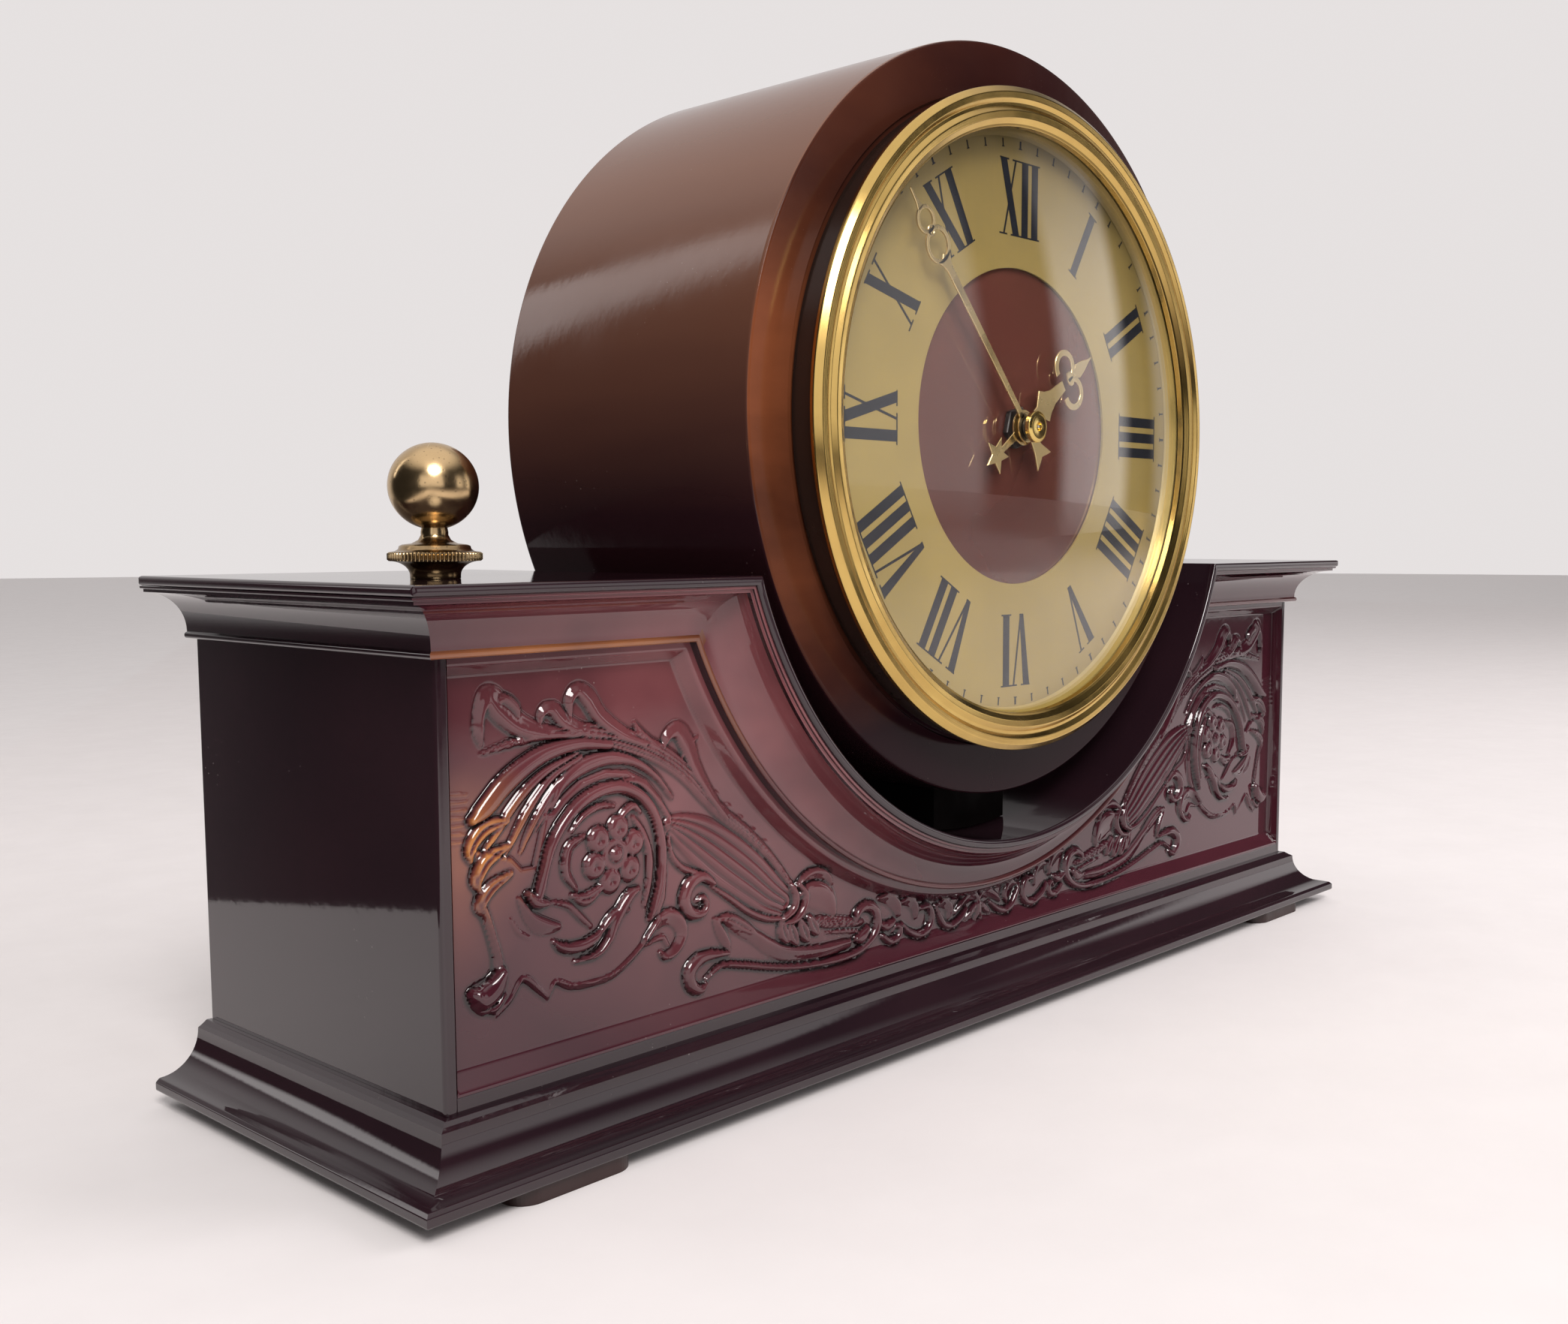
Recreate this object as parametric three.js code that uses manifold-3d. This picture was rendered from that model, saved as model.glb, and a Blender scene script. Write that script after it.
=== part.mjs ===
// Mantel clock: a low moulded case with a saddle in its top, a round clock drum lying in that
// saddle, a turned finial, and a battery movement whose hands, motion work and setting knob turn.
// Millimetres. +Z up, +X to the right of somebody facing the dial, and the dial faces -Y.
// Origin: on the surface it stands on, midway across the width and midway front to back.

import * as THREE from "three";
import { mergeVertices } from "three/addons/utils/BufferGeometryUtils.js";
import Module from "manifold-3d";

const wasm = await Module();
wasm.setup();

// ---------------------------------------------------------------- driving dimensions

const GAP = 0.3;                    // clearance between separate pieces
const BACK_Y = 65;                  // flush back of the case
const FOOT_H = 4;

// base case
const BODY_HALF_W = 195.5;
const BODY_FRONT_Y = -43;
const WALL = 4;
const FRONT_WALL = 7;
const RECESS_DEPTH = 4;             // the front's sunk panel, behind its frame
const RECESS_HALF_W = 192.5;
const RECESS_BOTTOM_Z = 24;
const LIP_REACH = 15.5;             // skirt lip beyond the body walls
const LIP_TOP_Z = 7;
const SKIRT_TOP_Z = 19.8;

// top slab and the cavetto cornice under it
const SLAB_TOP_Z = 136.5;
const SLAB_T = 2.5;
const SLAB_HALF_W = 210;
const SLAB_FRONT_Y = -58;
const CORNICE_REACH = 14;
const CORNICE_FOOT = 2.6;           // how far the cavetto's lower edge stands off the wall
const CORNICE_DROP = 14.5;          // below the slab's top
const CORNICE_BOTTOM = 16.2;

// saddle: the slab and the cornice dip round this axis
const SADDLE_R = 117.5;
const SADDLE_Z = 173.5;

// drum
const AXIS_Z = 178;
const DRUM_R = 109;
const DRUM_WALL = 4;
const DRUM_FRONT_Y = -50;
const DRUM_BACK_Y = 48.5;
const FACE_HOLE_R = 89;
const BEZEL_R = 95.2;
const OPENING_R = 84;
const GLASS_APEX_Y = -65;

// dial
const DIAL_R = 85.6;
const CENTRE_DISC_R = 46;
const DIAL_Y = -52.2;               // front of the chapter ring

// hands, at seven minutes to two
const MINUTES = 53;
const MINUTE_TURN = MINUTES / 60 * 2 * Math.PI;
const HOUR_TURN = (1 + MINUTES / 60) / 12 * 2 * Math.PI;
const HOUR_HAND_Y = -54.6;
const MINUTE_HAND_Y = -56;
const HAND_T = 0.6;

// movement housing, about the hand axis
const CASE_HALF_W = 28;
const CASE_TOP = 27.5;
const CASE_BOTTOM = -45;
const CASE_WALL = 1.5;
const CASE_FRONT_Y = -47.5;
const CASE_REAR_Y = -31;
const BAY_TOP = -26;                // battery bay starts below this
const BATTERY_R = 7.25;
const BATTERY_V = -35.3;
const BATTERY_Y = -38.4;
const BATTERY_X0 = -24.3;
const BATTERY_LENGTH = 48.7;

// gear train: teeth and modules
const MOTION_MODULE = 0.5;
const CANNON_TEETH = 12;
const MINUTE_WHEEL_TEETH = 36;
const MINUTE_PINION_TEETH = 10;
const HOUR_TEETH = 40;
const CENTRE_TEETH = 64;
const CENTRE_MODULE = 0.35;
const THIRD_PINION_TEETH = 8;
const THIRD_TEETH = 60;
const THIRD_MODULE = 0.35;
const SECOND_PINION_TEETH = 8;
const SECOND_TEETH = 30;
const TOOTH_FILL = 0.4;             // share of the pitch that a tooth takes

// facets round the large turned pieces
const ROUND = 48;
const PIVOT_R = 0.5;
const PIVOT_HOLE_R = 0.58;

// finial
const FINIAL_X = -178;
const FINIAL_Y = -17.8;

// ---------------------------------------------------------------- materials

function material(color, roughness, metalness, extra = {}) {
  return new THREE.MeshStandardMaterial({ color, roughness, metalness, ...extra });
}

const CASE_PLASTIC = material(0x2a0f14, 0.15, 0);
const DRUM_PLASTIC = material(0x4a2218, 0.2, 0);
const COLLAR_PLASTIC = material(0x1c100e, 0.3, 0);
const DARK_PLASTIC = material(0x16110f, 0.6, 0);
const WHITE_PLASTIC = material(0xe8e4da, 0.5, 0);
const BEZEL_BRASS = material(0xb98f35, 0.2, 1);
const HAND_BRASS = material(0xd2b069, 0.3, 1);
const FINIAL_BRASS = material(0x6b5430, 0.35, 1);
const DIAL_METAL = material(0xbfa76a, 0.4, 0.8);
const DISC_PLASTIC = material(0x4b2019, 0.1, 0);
const GLASS = material(0xffffff, 0.05, 0, { transparent: true, opacity: 0.25 });
const RUBBER = material(0x1a1a1a, 0.9, 0);
const HARDBOARD = material(0x5b3c26, 0.8, 0);
const STEEL = material(0x9a9a9a, 0.35, 1);
const COPPER = material(0xa5562b, 0.4, 1);
const FERRITE = material(0x2b2b2e, 0.5, 0.4);
const BOARD_GREEN = material(0x1f4a2b, 0.5, 0);
const BATTERY_LABEL = material(0x2c2c30, 0.35, 0.3);

// ---------------------------------------------------------------- geometry helpers

// Welds a geometry to positions only and turns its faces outwards.
function closed(geometry) {
  let g = geometry.clone();
  g.deleteAttribute("normal");
  g.deleteAttribute("uv");
  g = mergeVertices(g, 1e-5);
  const p = g.attributes.position;
  const idx = Array.from(g.index.array);
  const kept = [];
  let volume = 0;
  for (let i = 0; i < idx.length; i += 3) {
    const [a, b, c] = [idx[i], idx[i + 1], idx[i + 2]];
    if (a === b || b === c || c === a) continue;
    kept.push(a, b, c);
    const va = new THREE.Vector3().fromBufferAttribute(p, a);
    const vb = new THREE.Vector3().fromBufferAttribute(p, b);
    const vc = new THREE.Vector3().fromBufferAttribute(p, c);
    volume += va.dot(vb.cross(vc));
  }
  if (volume < 0) {
    for (let i = 0; i < kept.length; i += 3) {
      [kept[i], kept[i + 1]] = [kept[i + 1], kept[i]];
    }
  }
  g.setIndex(kept);
  return g;
}

function toManifold(geometry) {
  const g = closed(geometry);
  return new wasm.Manifold(new wasm.Mesh({
    numProp: 3,
    vertProperties: new Float32Array(g.attributes.position.array),
    triVerts: new Uint32Array(g.index.array),
  }));
}

function fromManifold(solid) {
  const mesh = solid.getMesh();
  const g = new THREE.BufferGeometry();
  g.setAttribute("position", new THREE.BufferAttribute(mesh.vertProperties, 3));
  g.setIndex(new THREE.BufferAttribute(mesh.triVerts, 1));
  return g;
}

function join(...geometries) {
  return fromManifold(geometries.map(toManifold).reduce((a, b) => a.add(b)));
}

function cut(base, ...tools) {
  const start = toManifold(base);
  return fromManifold(tools.map(toManifold).reduce((a, b) => a.subtract(b), start));
}

// A box from its lowest to its highest corner.
function box(x0, y0, z0, x1, y1, z1) {
  return new THREE.BoxGeometry(x1 - x0, y1 - y0, z1 - z0)
    .translate((x0 + x1) / 2, (y0 + y1) / 2, (z0 + z1) / 2);
}

// A shape drawn in X and Z, extruded from y0 back to y1.
function alongY(shape, y0, y1, curveSegments = 8) {
  return new THREE.ExtrudeGeometry(shape, { depth: y1 - y0, bevelEnabled: false, curveSegments })
    .rotateX(Math.PI / 2)
    .translate(0, y1, 0);
}

// A shape drawn in X and Y, extruded from z0 up to z1.
function alongZ(shape, z0, z1, curveSegments = 8) {
  return new THREE.ExtrudeGeometry(shape, { depth: z1 - z0, bevelEnabled: false, curveSegments })
    .translate(0, 0, z0);
}

function polygon(points) {
  return new THREE.Shape(points.map(([x, y]) => new THREE.Vector2(x, y)));
}

function disc(x, y, r) {
  const shape = new THREE.Shape();
  shape.absarc(x, y, r, 0, 2 * Math.PI, false);
  return shape;
}

function rodY(x, z, r, y0, y1, sides = 16) {
  return new THREE.CylinderGeometry(r, r, y1 - y0, sides).translate(x, (y0 + y1) / 2, z);
}

function rodZ(x, y, r, z0, z1, sides = 16) {
  return new THREE.CylinderGeometry(r, r, z1 - z0, sides)
    .rotateX(Math.PI / 2)
    .translate(x, y, (z0 + z1) / 2);
}

// A profile of [radius, y] points, closed on itself, turned about the drum axis.
function turnedRing(profile, segments) {
  const points = [...profile, profile[0]].map(([r, y]) => new THREE.Vector2(r, y));
  return new THREE.LatheGeometry(points, segments).translate(0, 0, AXIS_Z);
}

// A profile of [radius, y] points that starts and ends on the axis.
function turnedSolid(profile, segments, x = 0, z = AXIS_Z) {
  const points = profile.map(([r, y]) => new THREE.Vector2(r, y));
  return new THREE.LatheGeometry(points, segments).translate(x, 0, z);
}

// The same, standing up along Z.
function turnedUpright(profile, segments, x, y) {
  const points = profile.map(([r, z]) => new THREE.Vector2(r, z));
  return new THREE.LatheGeometry(points, segments).rotateX(Math.PI / 2).translate(x, y, 0);
}

// A skin over matching rings of points, with flat ends: one ring per station.
function loft(stations) {
  const count = stations[0].length;
  const positions = stations.flat(2);
  const index = [];
  for (let s = 0; s + 1 < stations.length; s++) {
    for (let i = 0; i < count; i++) {
      const j = (i + 1) % count;
      const a = s * count + i;
      const b = s * count + j;
      index.push(a, b, b + count, a, b + count, a + count);
    }
  }
  return { positions, index, count };
}

function moulding(profile, stations) {
  const { positions, index, count } = loft(stations);
  const contour = profile.map(([o, d]) => new THREE.Vector2(o, d));
  const caps = THREE.ShapeUtils.triangulateShape(contour, []);
  const last = (stations.length - 1) * count;
  const flip = THREE.ShapeUtils.isClockWise(contour);
  for (const [a, b, c] of caps) {
    if (flip) index.push(a, b, c, last + a, last + c, last + b);
    else index.push(a, c, b, last + a, last + b, last + c);
  }
  const g = new THREE.BufferGeometry();
  g.setAttribute("position", new THREE.BufferAttribute(new Float32Array(positions), 3));
  g.setIndex(index);
  return g;
}

// ---------------------------------------------------------------- case outlines

// Half the angle that the saddle spans, where it meets the level d below the slab's top.
function saddleHalfAngle(d) {
  return Math.acos((SADDLE_Z - SLAB_TOP_Z + d) / (SADDLE_R + d));
}

// The top's front outline, d below its upper surface: level, round the saddle, level.
function topLine(d, halfWidth, steps = 24) {
  const half = saddleHalfAngle(d);
  const radius = SADDLE_R + d;
  const line = [[-halfWidth, SLAB_TOP_Z - d]];
  for (let i = 0; i <= steps; i++) {
    const t = half * (2 * i / steps - 1);
    line.push([radius * Math.sin(t), SADDLE_Z - radius * Math.cos(t)]);
  }
  line.push([halfWidth, SLAB_TOP_Z - d]);
  return line;
}

// Case moulding round the left side, the front (down and up the saddle) and the right side.
function corniceStations(profile, steps = 20) {
  const side = (sign, y) => profile.map(([o, d]) =>
    [sign * (BODY_HALF_W + o), y ?? BODY_FRONT_Y - o, SLAB_TOP_Z - d]);
  const stations = [side(-1, BACK_Y), side(-1)];
  for (let i = 0; i <= steps; i++) {
    stations.push(profile.map(([o, d]) => {
      const t = saddleHalfAngle(d) * (2 * i / steps - 1);
      const radius = SADDLE_R + d;
      return [radius * Math.sin(t), BODY_FRONT_Y - o, SADDLE_Z - radius * Math.cos(t)];
    }));
  }
  stations.push(side(1), side(1, BACK_Y));
  return stations;
}

function skirtStations(profile) {
  const side = (sign, y) => profile.map(([o, z]) =>
    [sign * (BODY_HALF_W + o), y ?? BODY_FRONT_Y - o, z]);
  return [side(-1, BACK_Y), side(-1), side(1), side(1, BACK_Y)];
}

// Quarter of an ellipse from (x0, y0) to (x1, y1), leaving (x0, y0) along Y.
function quarter(x0, y0, x1, y1, steps) {
  const points = [];
  for (let i = 0; i <= steps; i++) {
    const t = i / steps * Math.PI / 2;
    points.push([x0 + (x1 - x0) * (1 - Math.cos(t)), y0 + (y1 - y0) * Math.sin(t)]);
  }
  return points;
}

// ---------------------------------------------------------------- base case

const DRUM_BOLT_Y = [-20, 25];
const DRUM_BOLT_R = 2;
const STUD_R = 2;
const SLAB_UNDER_Z = SLAB_TOP_Z - SLAB_T;

function topSlab() {
  const outline = [...topLine(0, SLAB_HALF_W), ...topLine(SLAB_T, SLAB_HALF_W).reverse()];
  const sheet = alongY(polygon(outline), SLAB_FRONT_Y, BACK_Y);
  const holes = DRUM_BOLT_Y.map((y) => rodZ(0, y, DRUM_BOLT_R + GAP, 50, 60, 12));
  return cut(sheet, rodZ(FINIAL_X, FINIAL_Y, STUD_R + GAP, 130, 140, 12), ...holes);
}

function cornice() {
  const top = SLAB_T + GAP;
  const hollow = quarter(CORNICE_FOOT, CORNICE_DROP, CORNICE_REACH, top, 6);
  const profile = [[-WALL, CORNICE_BOTTOM], [CORNICE_FOOT, CORNICE_BOTTOM], ...hollow, [-WALL, top]];
  return moulding(profile, corniceStations(profile));
}

function baseShell() {
  const top = SLAB_TOP_Z - CORNICE_BOTTOM - GAP;
  const inner = BODY_HALF_W - WALL;
  const plan = polygon([
    [-BODY_HALF_W, BACK_Y], [-BODY_HALF_W, BODY_FRONT_Y],
    [BODY_HALF_W, BODY_FRONT_Y], [BODY_HALF_W, BACK_Y],
    [inner, BACK_Y], [inner, BODY_FRONT_Y + FRONT_WALL],
    [-inner, BODY_FRONT_Y + FRONT_WALL], [-inner, BACK_Y],
  ]);
  const saddle = rodY(0, SADDLE_Z, SADDLE_R + CORNICE_BOTTOM + GAP, BODY_FRONT_Y - 5, 0, 96);
  const recess = box(-RECESS_HALF_W, BODY_FRONT_Y - 1, RECESS_BOTTOM_Z,
    RECESS_HALF_W, BODY_FRONT_Y + RECESS_DEPTH, top + 1);
  return cut(alongZ(plan, LIP_TOP_Z + GAP, top), recess, saddle);
}

const SKIRT_LEDGE = 8;

function skirt() {
  const shoulder = 3.8;
  const hollow = quarter(shoulder, SKIRT_TOP_Z - 1.2, LIP_REACH - 0.7, LIP_TOP_Z, 6);
  const profile = [
    [GAP, LIP_TOP_Z], [GAP, SKIRT_TOP_Z], [1.6, SKIRT_TOP_Z], ...hollow,
    [LIP_REACH, LIP_TOP_Z - 0.7], [LIP_REACH, FOOT_H], [-SKIRT_LEDGE, FOOT_H], [-SKIRT_LEDGE, LIP_TOP_Z],
  ];
  return moulding(profile, skirtStations(profile));
}

const FOOT_X = 170;
const FOOT_HALF_W = 17;
const FOOT_LENGTH = 26;
const FOOT_CORNER_R = 6;
const FOOT_FRONT_Y = -57;
const FEET = [
  ["foot_front_left", -1, -1], ["foot_front_right", 1, -1],
  ["foot_rear_left", -1, 1], ["foot_rear_right", 1, 1],
];

// A glued-on pad with round corners; back is -1 under the front edge and 1 under the rear edge.
function foot(back) {
  const outer = back < 0 ? FOOT_FRONT_Y : BACK_Y - 1;
  const inner = outer - back * FOOT_LENGTH;
  const r = FOOT_CORNER_R;
  const low = Math.min(outer, inner) + r;
  const high = Math.max(outer, inner) - r;
  const x = FOOT_HALF_W - r;
  const shape = new THREE.Shape();
  shape.absarc(-x, low, r, Math.PI, 1.5 * Math.PI, false);
  shape.absarc(x, low, r, 1.5 * Math.PI, 2 * Math.PI, false);
  shape.absarc(x, high, r, 0, Math.PI / 2, false);
  shape.absarc(-x, high, r, Math.PI / 2, Math.PI, false);
  return alongZ(shape, 0, FOOT_H - GAP, 5);
}

function bottomPlate() {
  const inner = BODY_HALF_W - SKIRT_LEDGE - GAP;
  return box(-inner, BODY_FRONT_Y + SKIRT_LEDGE + GAP, FOOT_H, inner, PANEL_BACK_Y, LIP_TOP_Z);
}

// Glue posts in the rear corners, which take the back panel's screws.
const POST = 14;
const PANEL_BACK_Y = BACK_Y - 1.5;
const PANEL_T = 3;
const SCREW_SHANK_R = 1.4;
const SCREW_HEAD_R = 3;
const PANEL_SCREW_X = BODY_HALF_W - WALL - GAP - POST / 2;
const PANEL_SCREWS = [[-1, 24], [1, 24], [-1, 108], [1, 108]];

function panelScrewHoles(y0, y1) {
  return PANEL_SCREWS.map(([s, z]) => rodY(s * PANEL_SCREW_X, z, SCREW_SHANK_R + GAP, y0, y1, 10));
}

function rearPost(side) {
  const x = side * PANEL_SCREW_X;
  const y1 = PANEL_BACK_Y - PANEL_T - GAP;
  const post = box(x - POST / 2, y1 - POST, LIP_TOP_Z + GAP, x + POST / 2, y1, 118);
  return cut(post, ...panelScrewHoles(y1 - 9, y1 + 1));
}

function basePanel() {
  const halfWidth = BODY_HALF_W - WALL - GAP;
  const outline = [...topLine(SLAB_T + GAP, halfWidth),
    [halfWidth, LIP_TOP_Z + GAP], [-halfWidth, LIP_TOP_Z + GAP]];
  const sheet = alongY(polygon(outline), PANEL_BACK_Y - PANEL_T, PANEL_BACK_Y);
  return cut(sheet, ...panelScrewHoles(PANEL_BACK_Y - PANEL_T - 1, PANEL_BACK_Y + 1));
}

// A pan-headed screw driven forwards into the face at y.
function screw(x, y, z) {
  return join(rodY(x, z, SCREW_HEAD_R, y + GAP, y + 1.4, 12), rodY(x, z, SCREW_SHANK_R, y - 10, y + 1, 8));
}

// ---------------------------------------------------------------- drum and its support

const BLOCK_HALF_W = 17.5;

function arcPoints(radius, centreZ, halfWidth, steps) {
  const points = [];
  for (let i = 0; i <= steps; i++) {
    const x = halfWidth * (2 * i / steps - 1);
    points.push([x, centreZ - Math.sqrt(radius * radius - x * x)]);
  }
  return points;
}

function saddleBlock() {
  const outline = [
    ...arcPoints(SADDLE_R - GAP, SADDLE_Z, BLOCK_HALF_W, 4),
    ...arcPoints(DRUM_R + GAP, AXIS_Z, BLOCK_HALF_W, 4).reverse(),
  ];
  const holes = DRUM_BOLT_Y.map((y) => rodZ(0, y, DRUM_BOLT_R + GAP, 50, 75, 12));
  return cut(alongY(polygon(outline), -36, 40), ...holes);
}

// Bolts from inside the base, up through slab, block and drum, with nuts inside the drum.
function drumBolt(y) {
  return join(rodZ(0, y, 3.6, 50, 53, 12), rodZ(0, y, DRUM_BOLT_R, 52, 77.5, 10));
}

function drumNut(y) {
  return cut(rodZ(0, y, 3.8, 73.6, 76.8, 6), rodZ(0, y, DRUM_BOLT_R + 0.1, 73, 78, 10));
}

const COVER_Y = 43;
const COVER_T = 3;
const COVER_R = 104.3;
const ACCESS_R = 45;
const BOSS_CENTRE_R = 97;           // where the rear cover's screws sit
const BOSS_R = 9;
const BOSS_ANGLES = [90, 210, 330];

function polar(r, degrees) {
  const t = degrees * Math.PI / 180;
  return [r * Math.cos(t), AXIS_Z + r * Math.sin(t)];
}

function coverScrewHoles(y0, y1) {
  return BOSS_ANGLES.map((a) => rodY(...polar(BOSS_CENTRE_R, a), SCREW_SHANK_R + GAP, y0, y1, 10));
}

function drumShell() {
  const edge = 3;
  const inner = DRUM_R - DRUM_WALL;
  const faceBack = DRUM_FRONT_Y + DRUM_WALL;
  const round = quarter(DRUM_R, DRUM_FRONT_Y + edge, DRUM_R - edge, DRUM_FRONT_Y, 3);
  const profile = [...round, [FACE_HOLE_R, DRUM_FRONT_Y], [FACE_HOLE_R, faceBack], [inner, faceBack],
    [inner, DRUM_BACK_Y], [DRUM_R, DRUM_BACK_Y]];
  const holes = DRUM_BOLT_Y.map((y) => rodZ(0, y, DRUM_BOLT_R + GAP, 65, 76, 12));
  const bosses = BOSS_ANGLES.map((a) => rodY(...polar(BOSS_CENTRE_R, a), BOSS_R, COVER_Y - 14, COVER_Y - GAP, 14));
  return cut(join(turnedRing(profile, ROUND), ...bosses), ...holes, ...coverScrewHoles(COVER_Y - 9, COVER_Y + 1));
}

function rearCover() {
  const profile = [[ACCESS_R, COVER_Y], [COVER_R, COVER_Y], [COVER_R, COVER_Y + COVER_T],
    [ACCESS_R, COVER_Y + COVER_T]];
  return cut(turnedRing(profile, ROUND), ...coverScrewHoles(COVER_Y - 1, COVER_Y + COVER_T + 1));
}

// Flanged ring behind the drum's face; it centres the dial in the opening.
function dialSeat() {
  const back = DRUM_FRONT_Y + DRUM_WALL + GAP;
  return turnedRing([
    [80, DIAL_Y + 3.4], [FACE_HOLE_R - GAP, DIAL_Y + 3.4], [FACE_HOLE_R - GAP, back],
    [101, back], [101, back + 2], [80, back + 2],
  ], ROUND);
}

function collar() {
  return turnedRing([[86, DRUM_FRONT_Y - GAP], [93.4, DRUM_FRONT_Y - GAP], [93.4, -57.7], [86, -57.7]], ROUND);
}

function bezel() {
  const back = -58;
  return turnedRing([
    [OPENING_R, back], [BEZEL_R, back], [BEZEL_R, -59.6], [92.4, -61.1], [90, -60.2], [87.4, -61.2],
    [OPENING_R, -59.6],
  ], 56);
}

// Convex glass held between the bezel's lip and the rehaut.
function glass() {
  const rim = DIAL_R;
  const rise = 7.6;
  const thickness = 1.8;
  const radius = (rim * rim + rise * rise) / (2 * rise);
  const front = [];
  const rear = [];
  const steps = 4;
  for (let i = 0; i <= steps; i++) {
    const r = rim * i / steps;
    const y = GLASS_APEX_Y + radius - Math.sqrt(radius * radius - r * r);
    front.push([r, y]);
    rear.unshift([r, y + thickness]);
  }
  return turnedSolid([...front, ...rear], ROUND);
}

function rehaut() {
  return turnedRing([[82.6, DIAL_Y - GAP], [DIAL_R, DIAL_Y - GAP], [DIAL_R, -55.3], [84.6, -55]], ROUND);
}

function chapterRing() {
  return turnedRing([[CENTRE_DISC_R, DIAL_Y], [DIAL_R, DIAL_Y], [DIAL_R, DIAL_Y + 0.8],
    [CENTRE_DISC_R, DIAL_Y + 0.8]], ROUND);
}

const BUSHING_R = 4;

function centreDisc() {
  const front = DIAL_Y + 1.1;
  return cut(turnedSolid([[0, front], [DIAL_R, front], [DIAL_R, front + 2], [0, front + 2]], ROUND),
    rodY(0, AXIS_Z, BUSHING_R + GAP, -55, -45, 16));
}

// ---------------------------------------------------------------- hands

// Outlines are drawn with the hand pointing up (+Y of the shape) from its axis.
function ringPlate(x, y, r, band) {
  const shape = disc(x, y, r);
  shape.holes.push(disc(x, y, r - band));
  return shape;
}

function handPlate(shapes, bore, y, turn) {
  const plates = shapes.map((s) => alongY(s, y, y + HAND_T, 4));
  const body = cut(join(...plates), rodY(0, 0, bore, y - 1, y + 2, 16));
  return body.rotateY(turn).translate(0, 0, AXIS_Z);
}

function minuteHand() {
  return handPlate([
    disc(0, 0, 4.4),
    polygon([[-1, 0], [1, 0], [1.5, 57], [-1.5, 57]]),
    polygon([[-1.5, 56], [1.5, 56], [3.4, 59.4], [-3.4, 59.4]]),
    ringPlate(0, 63.2, 5.2, 1.3),
    ringPlate(0, 71.2, 3.9, 1.2),
    polygon([[-1.3, 74.4], [1.3, 74.4], [0.25, 81], [-0.25, 81]]),
    polygon([[-1.4, 0], [1.4, 0], [4.4, -13], [0, -11.4], [-4.4, -13]]),
  ], 1.3, MINUTE_HAND_Y, MINUTE_TURN);
}

function star(x, y, outer, inner, points) {
  const line = [];
  for (let i = 0; i < 2 * points; i++) {
    const r = i % 2 ? inner : outer;
    const t = i * Math.PI / points - Math.PI / 2;
    line.push([x + r * Math.cos(t), y + r * Math.sin(t)]);
  }
  return polygon(line);
}

function hourHand() {
  return handPlate([
    disc(0, 0, 5.2),
    polygon([[-1.5, 0], [1.5, 0], [1.5, 9], [5, 12.5], [2.6, 16.5], [1.6, 24], [-1.6, 24],
      [-2.6, 16.5], [-5, 12.5], [-1.5, 9]]),
    ringPlate(-4.2, 27.8, 5, 1.4),
    ringPlate(4.2, 27.8, 5, 1.4),
    polygon([[-1.2, 23], [1.2, 23], [2.2, 33], [0, 42], [-2.2, 33]]),
    polygon([[-1.4, 0], [1.4, 0], [1.4, -15], [-1.4, -15]]),
    star(0, -15.5, 5.6, 2.6, 5),
  ], 2.9, HOUR_HAND_Y, HOUR_TURN);
}

function handCap() {
  return turnedSolid([[0, -60], [3.8, -60], [4.6, -59.4], [4.6, -58], [3.2, -57.9], [3.2, -56.3],
    [1.4, -56.3], [1.4, -57.2], [0, -57.2]], 16);
}

// ---------------------------------------------------------------- movement

// A wheel with pointed teeth, tooth 0 at angle `phase` from +X towards +Z.
function wheel(teeth, module, phase, y0, y1, x, v, bore = 0) {
  const pitch = teeth * module / 2;
  const tip = pitch + 0.8 * module;
  const root = pitch - 1.15 * module;
  const half = TOOTH_FILL * Math.PI / teeth;
  const line = [];
  for (let k = 0; k < teeth; k++) {
    const t = phase + k * 2 * Math.PI / teeth;
    for (const [r, dt] of [[root, -1.9 * half], [tip, 0], [root, 1.9 * half]]) {
      line.push([r * Math.cos(t + dt), r * Math.sin(t + dt)]);
    }
  }
  const shape = polygon(line);
  if (bore) shape.holes.push(disc(0, 0, bore));
  return alongY(shape, y0, y1, 4).translate(x, 0, AXIS_Z + v);
}

// The phase that puts wheel B in mesh with wheel A, B lying in `direction` from A.
function meshPhase(direction, teethA, phaseA, teethB) {
  return direction + Math.PI + Math.PI / teethB + (direction - phaseA) * teethA / teethB;
}

function offset([x, v], distance, direction) {
  return [x + distance * Math.cos(direction), v + distance * Math.sin(direction)];
}

const CENTRE = [0, 0];
const MOTION_DISTANCE = (MINUTE_PINION_TEETH + HOUR_TEETH) * MOTION_MODULE / 2;
const CANNON_MODULE = 2 * MOTION_DISTANCE / (CANNON_TEETH + MINUTE_WHEEL_TEETH);
const MINUTE_WHEEL_DIR = Math.PI / 2;
const MINUTE_WHEEL_AT = offset(CENTRE, MOTION_DISTANCE, MINUTE_WHEEL_DIR);
const SETTING_DIR = Math.PI / 6;
const SETTING_AT = offset(MINUTE_WHEEL_AT, MOTION_DISTANCE, SETTING_DIR);
const THIRD_DIR = 215 * Math.PI / 180;
const THIRD_AT = offset(CENTRE, (CENTRE_TEETH + THIRD_PINION_TEETH) * CENTRE_MODULE / 2, THIRD_DIR);
const SECOND_DIR = -40 * Math.PI / 180;
const SECOND_AT = offset(THIRD_AT, (THIRD_TEETH + SECOND_PINION_TEETH) * THIRD_MODULE / 2, SECOND_DIR);
const PIVOTS = [CENTRE, MINUTE_WHEEL_AT, THIRD_AT, SECOND_AT];

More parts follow.
